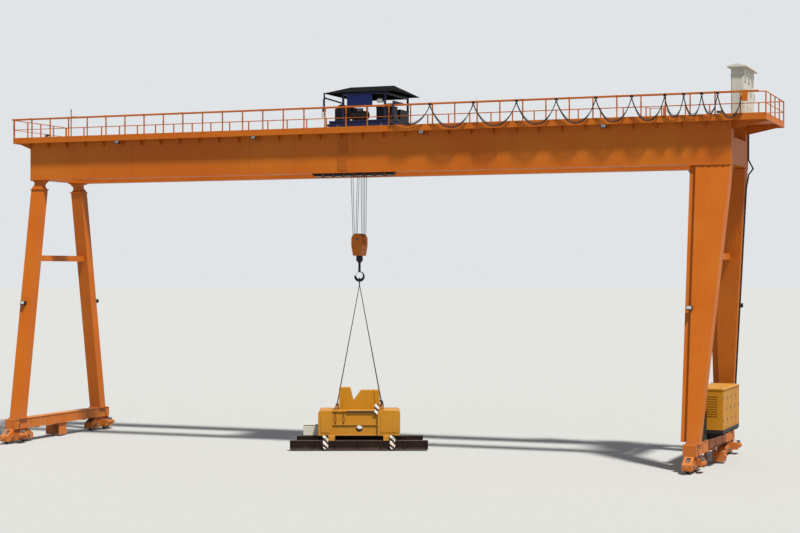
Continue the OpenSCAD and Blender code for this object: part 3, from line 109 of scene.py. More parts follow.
def start(name, base, roughness, metallic=0.0, gloss=0.3):
    """A new material with its plain shader values, and that shader"""
    material = bpy.data.materials.new(name)
    material.use_nodes = True
    shader = material.node_tree.nodes["Principled BSDF"]
    shader.inputs["Base Color"].default_value = colour(base)
    shader.inputs["Roughness"].default_value = roughness
    shader.inputs["Metallic"].default_value = metallic
    shader.inputs["Specular IOR Level"].default_value = gloss
    material.diffuse_color = colour(base)
    return material, shader


print("orange on the card", [round(v, 3) for v in colour("D2721C")])

# %% [markdown]
# Most of the crane is plate steel under one coat system, and three things make such paint look real from the
# ground. The first two are fading, in broad clouds a metre or two across, and rain, which draws dirt down
# upright faces in streaks a hand wide and a few metres long. A picture of dirt could be wrapped round each
# plate, but noise on Object coordinates runs on from plate to plate as rain does, so noise is used here.

# %% Fading and rain
def fading(material, place, fresh, faded):
    """The colour of the coat, in clouds of fresh and faded paint"""
    cloud_size = 2.6
    clouds = add(material, "TexNoise", {"Vector": place, "Scale": 1 / cloud_size, "Detail": 3.0})
    cloud = add(material, "MapRange", {"Value": clouds, "From Min": 0.35, "From Max": 0.7})
    paint = add(material, "Mix", {0: cloud, 6: colour(fresh), 7: colour(faded)}, data_type="RGBA")
    return paint.outputs[2]


def rain_streaks(material, place, up, amount):
    """How much dirt the rain has drawn down each place"""
    streak_width, streak_length, patch_size = 0.11, 6.0, 3.5
    run = add(material, "Mapping", {
        "Vector": place, "Scale": (1 / streak_width, 1 / streak_width, 1 / streak_length)})
    drips = add(material, "TexNoise", {"Vector": run, "Scale": 1.0, "Detail": 2.0})
    patches = add(material, "TexNoise", {"Vector": place, "Scale": 1 / patch_size, "Detail": 2.0})
    where = add(material, "MapRange", {
        "Value": patches, "From Min": 0.42, "From Max": 0.62, "To Max": amount})
    level = add(material, "Math", {0: up}, operation="ABSOLUTE")
    upright = add(material, "MapRange", {
        "Value": level, "From Min": 0.3, "From Max": 0.8, "To Min": 1.0, "To Max": 0.0})
    drip = add(material, "MapRange", {"Value": drips, "From Min": 0.48, "From Max": 0.8})
    for limit in (upright, where):
        drip = add(material, "Math", {0: drip, 1: limit}, operation="MULTIPLY")
    return drip


print("streaks a hand wide and 6 m long")

# %% [markdown]
# The third is dust, which settles on whatever faces up and is splashed a couple of metres up from the
# ground. Then come the chips. Paint breaks first along the edges of plates, and the Bevel node finds them:
# its rounded normal parts from the true one there. Real chips are 10 to 30 mm across, which is too fine to
# show from so far away, so their noise is drawn at 140 mm.

# %% Dust and chips
def settled_dust(material, place, up, amount):
    """How much dust lies on each place"""
    grit_size, splash_height = 0.35, 2.2
    settled = add(material, "TexNoise", {"Vector": place, "Scale": 1 / grit_size, "Detail": 5.0})
    patchy = add(material, "MapRange", {"Value": settled, "From Min": 0.25, "From Max": 0.65})
    ledge = add(material, "MapRange", {"Value": up, "From Min": 0.35, "From Max": 0.95, "To Max": amount})
    height = add(material, "SeparateXYZ", {0: place}).outputs["Z"]
    splash = add(material, "MapRange", {
        "Value": height, "From Min": 0.0, "From Max": splash_height, "To Min": 0.8 * amount, "To Max": 0.0})
    both = add(material, "Math", {0: ledge, 1: splash}, operation="MAXIMUM")
    dusty = add(material, "Math", {0: both, 1: patchy}, operation="MULTIPLY")
    return dusty


def chipped_edges(material, normal, rounded, spots, amount):
    """How much bare steel shows: chips along the edges of plates, and a few spots elsewhere"""
    apart = add(material, "VectorMath", {0: rounded, 1: normal}, operation="DOT_PRODUCT")
    worn = add(material, "MapRange", {
        "Value": apart.outputs["Value"], "From Min": 0.97, "From Max": 0.85, "To Max": 0.7 * amount})
    chips = add(material, "MapRange", {"Value": spots, "From Min": 0.45, "From Max": 0.6})
    chipped = add(material, "Math", {0: worn, 1: chips}, operation="MULTIPLY")
    spot = add(material, "MapRange", {"Value": spots, "From Min": 0.72, "From Max": 0.76, "To Max": amount})
    bare = add(material, "Math", {0: spot, 1: chipped}, operation="MAXIMUM")
    return bare


print("chips show where the rounded normal parts from the true one")

# %% [markdown]
# The same recipe serves every paint, so it is one function with the amounts as arguments. It lays dirt, dust
# and rust over the coat in that order, makes each a little duller than the coat, and lets the plates swell
# by a few millimetres between their stiffeners, as welded plate does.

# %% One recipe for painted steel
dust_brown, rust_brown = "8F7F66", "5B3219"


def painted_steel(name, fresh, faded, dirt, roughness, streaks, dust, rust=0.0, buckle=0.003, gloss=0.3):
    """Brushed and sprayed enamel on plate, out of doors; amounts run from 0 to 1, buckle is in metres"""
    material, shader = start(name, fresh, roughness, gloss=gloss)
    place = add(material, "TexCoord").outputs["Object"]
    normal = add(material, "NewGeometry").outputs["Normal"]
    up = add(material, "SeparateXYZ", {0: normal}).outputs["Z"]
    edge_width, spot_size, bay = 0.02, 0.14, 0.9
    rounded = add(material, "Bevel", {"Radius": edge_width}, samples=4)
    spots = add(material, "TexNoise", {"Vector": place, "Scale": 1 / spot_size, "Detail": 7.0})

    drip = rain_streaks(material, place, up, streaks)
    dusty = settled_dust(material, place, up, dust)
    bare = chipped_edges(material, normal, rounded, spots, rust)
    paint = fading(material, place, fresh, faded)
    for amount, over in ((drip, dirt), (dusty, dust_brown), (bare, rust_brown)):
        paint = add(material, "Mix", {0: amount, 6: paint, 7: colour(over)}, data_type="RGBA").outputs[2]
    link(material, paint, shader, "Base Color")

    dull = roughness
    for amount, more in ((dusty, 0.4), (drip, 0.15), (bare, 0.3)):
        dull = add(material, "Math", {0: amount, 1: more, 2: dull}, operation="MULTIPLY_ADD")
    link(material, dull, shader, "Roughness")

    sheet = add(material, "TexNoise", {"Vector": place, "Scale": 1 / bay, "Detail": 1.0})
    waves = add(material, "Bump", {
        "Height": sheet, "Distance": buckle, "Strength": 1.0, "Normal": rounded})
    skin = add(material, "Bump", {
        "Height": spots, "Distance": 0.0006, "Strength": 0.6, "Normal": waves})
    link(material, skin, shader, "Normal")
    return material


print("amounts: streaks, dust, rust")

# %% [markdown]
# The paints differ in their surface as well as in their colour. Alkyd enamel on the girders, legs, spreader
# and generator chalks in the sun, which leaves it satin. The navy enamel on the trolley is younger and
# cleaner. The bituminous coat on the roof sheet is matt and swallows nearly all light. Powder coat is even
# and pale. Chassis paint and primer are thin, so rust comes through at their edges, and hammered enamel on
# the small boxes is smooth enough to catch a dull light.

# %% The paints
orange_enamel = painted_steel("orange alkyd enamel on plate", "AE5600", "B46006", "70320C",
                              roughness=0.55, streaks=0.22, dust=0.4, rust=0.3)
yellow_enamel = painted_steel("yellow alkyd enamel on plate", "A86E02", "AE7809", "57400F",
                              roughness=0.55, streaks=0.45, dust=0.25, rust=0.45)
navy_enamel = painted_steel("navy enamel on rolled sections", "131A44", "1A2450", "0A0D1E",
                            roughness=0.5, streaks=0.3, dust=0.06)
roof_enamel = painted_steel("black bituminous coat on roof sheet", "020304", "040506", "020202",
                            roughness=0.95, streaks=0.2, dust=0.0, gloss=0.06)
screen_enamel = painted_steel("blue enamel on screen sheet", "1C3278", "24408C", "141B38",
                              roughness=0.5, streaks=0.3, dust=0.05, buckle=0.001)
cream_enamel = painted_steel("cream powder coat on sheet", "B9BAB0", "C2C3B9", "7E7B71",
                             roughness=0.5, streaks=0.4, dust=0.2, buckle=0.0015)
black_enamel = painted_steel("black chassis paint", "0C0C0F", "131318", "211C18",
                             roughness=0.6, streaks=0.3, dust=0.12, rust=0.4)
brown_primer = painted_steel("red-brown primer coat on rolled beams", "291714", "33201A", "17100D",
                             roughness=0.65, streaks=0.4, dust=0.1, rust=0.4)
grey_enamel = painted_steel("grey hammered machine enamel", "5C6065", "686D72", "3A3A36",
                            roughness=0.5, streaks=0.3, dust=0.2)
print("paints", [m.name for m in bpy.data.materials if "enamel" in m.name or "coat" in m.name])

# %% [markdown]
# Bare and worn steel is different: it is a metal, so its colour sits in the reflection. Rail heads and
# wheel treads are rolled bright in the middle of a brown skin of rust. One noise drives colour, metal and
# roughness together, so that each rusty place is also a dull one. Real pits are a few millimetres across,
# and are drawn at 90 mm so that they show.

# %% Worn steel
def worn_steel():
    """Rolled and rusted carbon steel: bright where it is worn, brown in the pits"""
    material, shader = start("worn carbon steel", "77726A", 0.42, metallic=1.0)
    place = add(material, "TexCoord").outputs["Object"]
    pit_size = 0.09
    pits = add(material, "TexNoise", {"Vector": place, "Scale": 1 / pit_size, "Detail": 6.0})
    brown = add(material, "MapRange", {"Value": pits, "From Min": 0.42, "From Max": 0.6})
    tint = add(material, "Mix", {0: brown, 6: colour("8A867E"), 7: colour("5A4232")},
               data_type="RGBA")
    link(material, tint.outputs[2], shader, "Base Color")
    for socket, bright, rusty in (("Metallic", 0.9, 0.25), ("Roughness", 0.32, 0.8)):
        share = add(material, "MapRange", {"Value": brown, "To Min": bright, "To Max": rusty})
        link(material, share, shader, socket)
    bump = add(material, "Bump", {"Height": pits, "Distance": 0.0015, "Strength": 0.7})
    link(material, bump, shader, "Normal")
    return material


steel = worn_steel()
print("steel", steel.name)

# %% [markdown]
# Wire rope is six strands laid round a core, greased and dark. Its strands come round once in a lay of about
# six diameters, 160 mm for this rope. Modelling them would cost thousands of faces for each metre, so a
# slanted wave draws them. The sheath of a cable is extruded rubber, black with a grey bloom of dust.

# %% Rope and rubber
def greased_rope():
    """Galvanised wire rope under black grease, drawn as a slanted ripple"""
    material, shader = start("greased wire rope", "2B2926", 0.38, metallic=0.6)
    place = add(material, "TexCoord").outputs["Object"]
    lay_length = 0.16
    turn = add(material, "Mapping", {"Vector": place, "Rotation": (0.5, 0.35, 0.0)})
    strands = add(material, "TexWave", {
        "Vector": turn, "Scale": 1 / lay_length, "Distortion": 0.4, "Detail": 1.0},
        bands_direction="Z")
    tint = add(material, "Mix", {0: strands.outputs[1], 6: colour("1A1917"), 7: colour("4A463F")},
               data_type="RGBA")
    link(material, tint.outputs[2], shader, "Base Color")
    bump = add(material, "Bump", {"Height": strands.outputs[1], "Distance": 0.004, "Strength": 0.8})
    link(material, bump, shader, "Normal")
    return material


def sheath_rubber():
    """Extruded chloroprene sheath: black with a grey bloom of dust, hardly any shine"""
    material, shader = start("chloroprene cable sheath", "161618", 0.62)
    place = add(material, "TexCoord").outputs["Object"]
    bloom_size = 0.5
    bloom = add(material, "TexNoise", {"Vector": place, "Scale": 1 / bloom_size, "Detail": 5.0})
    amount = add(material, "MapRange", {
        "Value": bloom, "From Min": 0.35, "From Max": 0.75, "To Max": 0.45})
    tint = add(material, "Mix", {0: amount, 6: colour("141416"), 7: colour("3C3B3A")},
               data_type="RGBA")
    link(material, tint.outputs[2], shader, "Base Color")
    bump = add(material, "Bump", {"Height": bloom, "Distance": 0.001, "Strength": 0.5})
    link(material, bump, shader, "Normal")
    return material


rope_steel = greased_rope()
rubber = sheath_rubber()
print("rope and cable", rope_steel.name, rubber.name)

# %% [markdown]
# The flippers that guide the spreader into place are white with dark slanting bands, so that they are seen
# from above. Stripes could be cut into the mesh, but a sum of height and length that steps between two
# colours needs no extra faces. The real bands are about 150 mm wide.

# %% Warning bands
def banded_enamel():
    """White traffic enamel with dark slanting bands, each about a hand wide, and small chips"""
    material, shader = start("white and dark traffic enamel", "B9B4AC", 0.5)
    place = add(material, "TexCoord").outputs["Object"]
    band, dark_share, chip_size = 0.15, 0.44, 0.06
    axes = add(material, "SeparateXYZ", {0: place}).outputs
    slant = add(material, "Math", {0: axes["Z"], 1: axes["X"]}, operation="ADD")
    step = add(material, "Math", {0: slant, 1: 1 / band}, operation="MULTIPLY")
    step = add(material, "Math", {0: step, 1: 1.0}, operation="PINGPONG")
    step = add(material, "Math", {0: step, 1: 1 - dark_share}, operation="GREATER_THAN")
    tint = add(material, "Mix", {0: step, 6: colour("D8D5CC"), 7: colour("34120F")},
               data_type="RGBA")
    chips = add(material, "TexNoise", {"Vector": place, "Scale": 1 / chip_size, "Detail": 6.0})
    chip = add(material, "MapRange", {"Value": chips, "From Min": 0.6, "From Max": 0.68})
    worn = add(material, "Mix", {0: chip, 6: tint.outputs[2], 7: colour("4B3426")},
               data_type="RGBA")
    link(material, worn.outputs[2], shader, "Base Color")
    return material


bands = banded_enamel()
print("bands", bands.name)

# %% [markdown]
# Two small finishes are left. A lamp's glass is pressed with flutes 20 mm apart that spread its light, and
# wears a film of dust, so it needs no see-through material. Fasteners and hinges are zinc plated: dull
# silver that weathers in darker patches, drawn at 50 mm because the real grain is too fine to show.

# %% Lamp glass and zinc
def lens_glass():
    """Pressed lamp glass behind a film of dust: pale, with fine flutes"""
    material, shader = start("pressed lamp glass", "B9C0C2", 0.18)
    place = add(material, "TexCoord").outputs["Object"]
    flute, film_size = 0.02, 0.08
    flutes = add(material, "TexWave", {"Vector": place, "Scale": 1 / flute}, bands_direction="X")
    bump = add(material, "Bump", {"Height": flutes.outputs[1], "Distance": 0.002, "Strength": 0.6})
    link(material, bump, shader, "Normal")
    film = add(material, "TexNoise", {"Vector": place, "Scale": 1 / film_size, "Detail": 4.0})
    tint = add(material, "Mix", {0: film, 6: colour("C4CACB"), 7: colour("8E8C84")},
               data_type="RGBA")
    link(material, tint.outputs[2], shader, "Base Color")
    return material


def zinc_plate():
    """Zinc plating on fasteners: dull silver, darker and duller where it has weathered"""
    material, shader = start("zinc plated steel", "9A9C9B", 0.4, metallic=0.9)
    place = add(material, "TexCoord").outputs["Object"]
    bloom_size = 0.05
    bloom = add(material, "TexNoise", {"Vector": place, "Scale": 1 / bloom_size, "Detail": 5.0})
    tint = add(material, "Mix", {0: bloom, 6: colour("A3A5A4"), 7: colour("6D675C")},
               data_type="RGBA")
    link(material, tint.outputs[2], shader, "Base Color")
    rough = add(material, "MapRange", {"Value": bloom, "To Min": 0.3, "To Max": 0.65})
    link(material, rough, shader, "Roughness")
    return material


glass = lens_glass()
zinc = zinc_plate()
print("small finishes", glass.name, zinc.name)

# %% [markdown]
# Each solid piece came in with one of the record's finishes. Here each finish gets its real material, and
# the pieces keep their shapes. The roof over the trolley has a coat of its own, darker than its posts,
# and the long beams under the spreader are still in their red-brown primer.

# %% Dress the solid model
finishes = {
    "orange_paint": orange_enamel, "yellow_paint": yellow_enamel, "navy_paint": navy_enamel,
    "cream_paint": cream_enamel, "black_paint": black_enamel, "grey_paint": grey_enamel,
    "worn_steel": steel, "wire_rope": rope_steel, "cable_rubber": rubber, "striped_paint": bands,
}
special = {"canopy_roof": roof_enamel, "spreader_beams": brown_primer}
for name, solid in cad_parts.items():
    for position, old in enumerate(solid.data.materials):
        solid.data.materials[position] = special.get(name, finishes[old.name.split(".")[0]])
print("dressed", len(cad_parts), "solid pieces")

# %% [markdown]
# The fittings are made from a few simple shapes. An operator acts on all that is selected, and the frame
# comes in selected, so each step first picks its own things. Every shape is made at its place, then its
# transform is applied, so that its object sits at the origin and its place is in its mesh.

# %% Picking and applying
def deselect():
    """Leaves nothing selected"""
    bpy.ops.object.select_all(action="DESELECT")


def pick(*things):
    """Selects these things alone, and makes the first one active"""
    deselect()
    for thing in things:
        thing.select_set(True)
    bpy.context.view_layer.objects.active = things[0]


def settle(thing):
    """Moves the transform into the mesh"""
    pick(thing)
    bpy.ops.object.transform_apply(location=True, rotation=True, scale=True)
    return thing


def applied(thing, kind, **settings):
    """Adds a modifier and applies it"""
    pick(thing)
    modifier = thing.modifiers.new(kind.lower(), kind)
    for field, value in settings.items():
        setattr(modifier, field, value)
    bpy.ops.object.modifier_apply(modifier=modifier.name)
    return thing


def facing_turn(direction):
    """The turn that points a shape's Z axis along a direction"""
    return Vector(direction).to_track_quat("Z", "Y").to_euler()


print("helpers: deselect, pick, settle, applied, facing_turn")

# %% [markdown]
# A sharp edge never looks real, because every made edge catches a thin line of light. So the box and the
# bar have their edges broken by a bevel that is applied at once. A ring is a torus about any axis.

# %% Box, bar and ring
def box(middle, size, edge=0.004):
    """A box about its middle, with its edges broken"""
    bpy.ops.mesh.primitive_cube_add(size=1, location=middle)
    thing = bpy.context.object
    thing.scale = size
    settle(thing)
    return applied(thing, "BEVEL", width=min(edge, 0.3 * min(size)), segments=2, limit_method="ANGLE")


def bar(begin, end, radius, sides=16):
    """A round bar between two points, with its ends broken"""
    begin, end = Vector(begin), Vector(end)
    along = end - begin
    bpy.ops.mesh.primitive_cylinder_add(vertices=sides, radius=radius, depth=along.length,
                                        location=(begin + end) / 2, rotation=facing_turn(along))
    thing = settle(bpy.context.object)
    applied(thing, "BEVEL", width=0.15 * min(radius, along.length), segments=1, limit_method="ANGLE",
            angle_limit=math.radians(50))
    bpy.ops.object.shade_smooth_by_angle(angle=math.radians(35))
    return thing


def ring(middle, axis, radius, thickness):
    """A torus round an axis"""
    bpy.ops.mesh.primitive_torus_add(major_radius=radius, minor_radius=thickness, major_segments=48,
                                     minor_segments=10, location=middle, rotation=facing_turn(axis))
    thing = settle(bpy.context.object)
    bpy.ops.object.shade_smooth()
    return thing


print("shapes: box, bar, ring")

# %% [markdown]
# Bolts come in rows, so one hexagon head on its washer is modelled and an Array modifier repeats it along
# the row and across the rows. A cord is a curve with a round section: it keeps its thickness round every
# bend, which a bent cylinder wouldn't. It is made a mesh at once, as everything else is.

# %% Bolts and cords
def bolts(first, facing, run=(0, 0, 0), count=1, over=(0, 0, 0), rows=1, size=0.018):
    """A grid of hexagon heads, each on a washer: count of them along run, in rows along over"""
    facing = Vector(facing).normalized()
    pair = []
    for corners_round, wide, thick, lift in ((6, 1.0, 0.7, 0.5), (16, 1.3, 0.2, 0.1)):
        bpy.ops.mesh.primitive_cylinder_add(vertices=corners_round, radius=wide * size, depth=thick * size,
                                            location=Vector(first) + facing * lift * size,
                                            rotation=facing_turn(facing))
        pair.append(settle(bpy.context.object))
    head = pair[0]
    pick(*pair)
    bpy.ops.object.join()
    for step, number in ((run, count), (over, rows)):
        if number > 1:
            applied(head, "ARRAY", count=number, use_relative_offset=False, use_constant_offset=True,
                    constant_offset_displace=step)
    return head


def cord(points, radius):
    """A round cord along a line of points"""
    shape = bpy.data.curves.new("cord", "CURVE")
    shape.dimensions = "3D"
    shape.bevel_depth = radius
    shape.bevel_resolution = 3
    shape.use_fill_caps = True
    line = shape.splines.new("POLY")
    line.points.add(len(points) - 1)
    for knot, point in zip(line.points, points):
        knot.co = (*point, 1.0)
        knot.radius = 1.0
    line.use_smooth = True
    thing = bpy.data.objects.new("cord", shape)
    bpy.context.collection.objects.link(thing)
    pick(thing)
    bpy.ops.object.convert(target="MESH")
    return bpy.context.object


print("shapes: bolts, cord")

# %% [markdown]
# Shapes that belong together are joined into one piece with one finish, which rides on the body that
# carries them. Places come from the solid pieces' own corners where they can, so a fitting stays on its
# piece. The last lines find the wheels, the middle of the span and the girders that way.

# %% Joining and riding
def joined(name, parts, material):
    """Joins shapes into one piece with one finish"""
    pick(*parts)
    if len(parts) > 1:
        bpy.ops.object.join()
    piece = bpy.context.object
    piece.name = name
    piece.data.name = name
    piece.data.materials.clear()
    piece.data.materials.append(material)
    return piece


def fitted(name, parts, material, body="portal"):
    """A joined piece that rides on a body"""
    piece = joined(name, parts, material)
    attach(piece, body)
    return piece


def corners(node):
    """The lowest and the highest corner of a solid piece"""
    low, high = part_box(node)
    return Vector(low), Vector(high)


both = (-1, 1)
girder_low, girder_high = corners("girder_near")
wheels = [sum(corners(f"wheel_{i + 1}"), Vector()) / 2 for i in range(8)]
x_rigid, x_flexible = wheels[0].x, wheels[4].x
mid_span = (x_rigid + x_flexible) / 2
girder_y = -(girder_low.y + girder_high.y) / 2
print("mid-span at", round(mid_span, 3), "girders at", round(girder_y, 3))

# %% [markdown]
# The girders are welded in shops and bolted together on site. A field of bolts covers the cover plates
# of the middle splice, and weld beads run along the flanges and up the webs where two plates meet. A bead
# could be drawn by a bump, but as a thin bar it catches the light along its whole length.

# %% Splice bolts and weld beads
web_reach, cover_plate = 0.32, 0.016
along_pitch, along_count = 0.08, 6
up_pitch, up_count = 0.1, 17
field_x, field_z = mid_span - (along_count - 1) * along_pitch / 2, girder_low.z + 0.2
fields = [bolts((field_x, side * girder_y + face * (web_reach + cover_plate), field_z), (0, face, 0),
                run=(along_pitch, 0, 0), count=along_count, over=(0, 0, up_pitch), rows=up_count, size=0.02)
          for side in both for face in both]
fitted("splice_bolts", fields, orange_enamel)

flange, bead, plate_length, splice_reach = 0.025, 0.007, 6.1, 0.5
beads = []
for y in [side * girder_y + face * web_reach for side in both for face in both]:
    for z in (girder_low.z + flange, girder_high.z - flange):
        beads.append(bar((girder_low.x + 0.01, y, z), (girder_high.x - 0.01, y, z), bead, sides=8))
    seam = girder_low.x + plate_length
    while seam < girder_high.x - 1:
        if abs(seam - mid_span) > splice_reach:
            beads.append(bar((seam, y, girder_low.z + 0.03), (seam, y, girder_high.z - 0.03), bead, sides=8))
        seam += plate_length
fitted("girder_weld_beads", beads, orange_enamel)
print("splice bolts", len(fields) * along_count * up_count, "beads", len(beads))

# %% [markdown]
# The legs are bolted to the girders through their head plates and to the sills through their foot plates.
# The rows of bolts follow the lips of the plates, between the ribs, so each kind of leg has its own row at
# its head and at its foot: where it starts, its pitch and its count.

# %% Bolts of the legs
plate, plate_reach, lip = 0.04, 0.055, 0.028
sill_high = corners("sill_beams")[1].z
foot_y = 3.8
leg_rows = ((x_rigid, 0.7, (-0.1225, 0.155, 10), (-0.1133, 0.1733, 3)),
            (x_flexible, 0.55, (-0.285, 0.19, 4), (-0.244, 0.1625, 4)))
leg_bolts = []
for side in both:
    for x, thick, head, foot in leg_rows:
        for face in both:
            reach = face * (thick / 2 + plate_reach - lip)
            for (begin, pitch, count), y, z, way in ((head, girder_y, girder_low.z - plate, -1),
                                                     (foot, foot_y, sill_high + plate, 1)):
                leg_bolts.append(bolts((x + begin, side * y + reach, z), (0, 0, way), run=(pitch, 0, 0),
                                       count=count, size=0.016))
fitted("leg_bolts", leg_bolts, orange_enamel)
print("rows of leg bolts", len(leg_bolts))

# %% [markdown]
# Each axle ends in a nut, which turns with its wheel, so the nuts are a piece for each wheel that rides on
# the wheel's body. The caps of the axle bearings stay still, and are held by four bolts each.

# %% Axle nuts and bearing caps
axle_reach, cap_reach, cap_circle = 0.295, 0.25, 0.09
cap_bolts = []
for i, hub in enumerate(wheels):
    nuts = [bolts((hub.x + face * axle_reach, hub.y, hub.z), (face, 0, 0), size=0.04) for face in both]
    for face in both:
        for turn in range(4):
            angle = math.pi / 4 + turn * math.pi / 2
            cap_bolts.append(bolts((hub.x + face * cap_reach, hub.y + cap_circle * math.cos(angle),
                                    hub.z + cap_circle * math.sin(angle)), (face, 0, 0), size=0.012))
    fitted(f"axle_nuts_{i + 1}", nuts, zinc, f"wheel_body_{i + 1}")
fitted("bearing_cap_bolts", cap_bolts, orange_enamel)
print("bolts of the bearing caps", len(cap_bolts))

# %% [markdown]
# Every travel motor has a terminal box on its top. Its lid stands proud of the box all round, and its cable
# leaves from the side in an arch and climbs to the sill beam.

# %% Terminal boxes of the travel motors
bogie_y, drive_x, drive_y, drive_top = 3.9, 0.25 + 0.4 - 0.115, 0.3, 0.418 + 0.127
sill_under = 0.98
terminal_boxes, tails = [], []
for x in (x_rigid, x_flexible):
    for side in both:
        y = side * (bogie_y + drive_y)
        terminal_boxes.append(box((x + drive_x, y, drive_top + 0.05), (0.14, 0.2, 0.1)))
        terminal_boxes.append(box((x + drive_x, y, drive_top + 0.105), (0.15, 0.21, 0.012)))
        route = ((drive_x - 0.07, 0.0, drive_top + 0.05), (0.37, 0.0, drive_top + 0.08),
                 (0.33, 0.05, drive_top + 0.18), (0.325, 0.08, drive_top + 0.32), (0.275, 0.1, sill_under))
        tails.append(cord([(x + dx, y - side * dy, z) for dx, dy, z in route], 0.012))
fitted("terminal_boxes", terminal_boxes, grey_enamel)
fitted("motor_tails", tails, rubber)
print("terminal boxes", len(terminal_boxes) // 2)

# %% [markdown]
# The generator set has four doors on each side. A door hangs on two hinges and closes with a handle. Four
# eyes on the roof are there to lift the whole set. Latches and hinges keep the same share of a door's width
# from its middle, here and on the electrical cabinet.

# %% Fittings of the generator set
latch_share, hinge_share = 0.36, -0.46
set_low, set_high = corners("generator_housing")
roof_lip, door_margin, door_count = 0.025, 0.03, 4
door_length = (set_high.y - set_low.y - 2 * roof_lip - 2 * door_margin) / door_count
mid_height = (set_low.z + set_high.z) / 2
door_fittings = []
for face, x in ((-1, set_low.x + roof_lip), (1, set_high.x - roof_lip)):
    for i in range(door_count):
        y = set_low.y + roof_lip + door_margin + (i + 0.5) * door_length
        latch_y, hinge_y = y + latch_share * door_length, y + hinge_share * door_length
        door_fittings.append(box((x + face * 0.012, latch_y, mid_height), (0.024, 0.03, 0.16)))
        door_fittings.append(box((x + face * 0.03, latch_y - 0.03 * door_length, mid_height),
                                 (0.02, 0.12, 0.022)))
        for z in (set_low.z + 0.4, set_high.z - 0.45):
            door_fittings.append(bar((x + face * 0.012, hinge_y, z - 0.06),
                                     (x + face * 0.012, hinge_y, z + 0.06), 0.014))
fitted("generator_door_fittings", door_fittings, zinc)
eyes = [ring((x, set_low.y + along, set_high.z + 0.025), (0, 1, 0), 0.045, 0.011)
        for along in (0.5, 3.4) for x in (set_high.x - 0.16, set_low.x + 0.16)]
fitted("generator_lifting_eyes", eyes, zinc)
print("generator fittings", len(door_fittings))

# %% [markdown]
# The electrical cabinet opens on both long sides. Its doors have bar handles and hinges, a louvre plate lets
# the warm air out under the roof, and three cables leave at its foot. The louvres are slats that
# stand out of the sheet, because the shadow under each slat is what shows.

# %% Fittings of the electrical cabinet
cab_low, cab_high = corners("electrical_cabinet")
roof_reach, cab_doors = 0.16, 3
panel = (cab_high.y - cab_low.y - 2 * roof_reach) / cab_doors
handles, louvres = [], []
for face, x in ((-1, cab_low.x + roof_reach), (1, cab_high.x - roof_reach)):
    for i in range(cab_doors):
        y = cab_low.y + roof_reach + (i + 0.5) * panel
        latch_y, hinge_y = y + latch_share * panel, y + hinge_share * panel
        grip_x, hinge_x = x + face * 0.04, x + face * 0.008
        handles.append(bar((grip_x, latch_y, cab_low.z + 1.0), (grip_x, latch_y, cab_low.z + 1.28), 0.011))
        for z in (cab_low.z + 1.02, cab_low.z + 1.26):
            handles.append(bar((x, latch_y, z), (x + face * 0.045, latch_y, z), 0.009))
        for z in (cab_low.z + 0.5, cab_low.z + 1.2, cab_low.z + 1.9):
            handles.append(bar((hinge_x, hinge_y, z - 0.05), (hinge_x, hinge_y, z + 0.05), 0.012))
        for k in range(7):
            louvres.append(box((hinge_x, y - 0.05, cab_low.z + 1.62 + 0.045 * k), (0.03, 0.4, 0.012), 0.002))
fitted("cabinet_handles", handles, zinc)
fitted("cabinet_louvres", louvres, cream_enamel)
cable_route = ((0.3, roof_reach - 0.02, 0.06), (0.28, roof_reach - 0.12, 0.03), (0.2, -0.3, 0.02),
               (0.1, -0.62, 0.02))
cab_cables = [cord([cab_low + Vector((dx, dy + 0.05 * k, dz)) for dx, dy, dz in cable_route], 0.014)
              for k in range(3)]
fitted("cabinet_cables", cab_cables, rubber)
print("cabinet handles", len(handles))

# %% [markdown]
# A floodlight is a black housing with a pressed glass in front. The lamps in the row below the near girder
# shine down, and the ones under the walkway and on the legs shine outwards. The solid model has the
# housings, so only the glasses are added. The ones on the legs are made upright, and then lean with the leg.

# %% Lamp glasses
batten_x, batten_length, batten_lamps = -0.435, 4.3, 8
glasses = [box((batten_x + (i - 3.5) * batten_length / batten_lamps, -girder_y, girder_low.z - 0.142),
               (0.34, 0.2, 0.008), 0.003) for i in range(batten_lamps)]
deck, fascia, hood = 0.08, 0.195, 0.0175
bays, lamp_bays, bay_margin = 33, (4, 11, 19, 27), 0.05
bay_step = (girder_high.x - girder_low.x - bay_margin) / bays
for i in lamp_bays:
    glasses.append(box((girder_low.x + (i + 0.75) * bay_step + 0.13, -2.446,
                        girder_high.z + deck - fascia - hood), (0.224, 0.01, 0.229), 0.003))

lamp_up = 5.89
leg_foot = Matrix.Translation((0, foot_y, sill_high))
lean = Matrix.Rotation(math.atan2(2.0, girder_low.z - sill_high), 4, "X")
for x, thick, near in ((x_rigid - 0.38, 0.7, True), (x_rigid + 0.6482, 0.7, False),
                       (x_flexible - 0.22, 0.55, True), (x_flexible + 0.1, 0.55, False)):
    pane = box((x + 0.13, thick / 2 + 0.204, lamp_up), (0.22, 0.01, 0.14), 0.003)
    pane.data.transform(leg_foot @ lean)
    if near:
        pane.data.transform(Matrix.Scale(-1, 4, (0, 1, 0)))
        pane.data.flip_normals()
    glasses.append(pane)
fitted("lamp_glasses", glasses, glass)
print("lamp glasses", len(glasses))

# %% [markdown]
# The festoon carries power and signals to the trolley. Three cables lie side by side and hang in loops
# between carriers that roll along the track. While the trolley moves, a carrier keeps its share of the way
# between the fixed end and the trolley's arm, so a loop's two ends move by different amounts and the loop
# opens or closes between them. The curve has no simple inverse, so halving finds its time for each share.

# %% Where the carriers stand
carriers = [mid_span + x for x in
            (2.885, 4.685, 6.835, 8.935, 10.835, 12.685, 14.335, 15.835, 16.685, 17.485, 18.185, 19.265)]
rail_height, track_drop = 1.05, 0.04 + 0.06
hang_z = girder_high.z + deck + rail_height - track_drop
festoon_y = -2.62


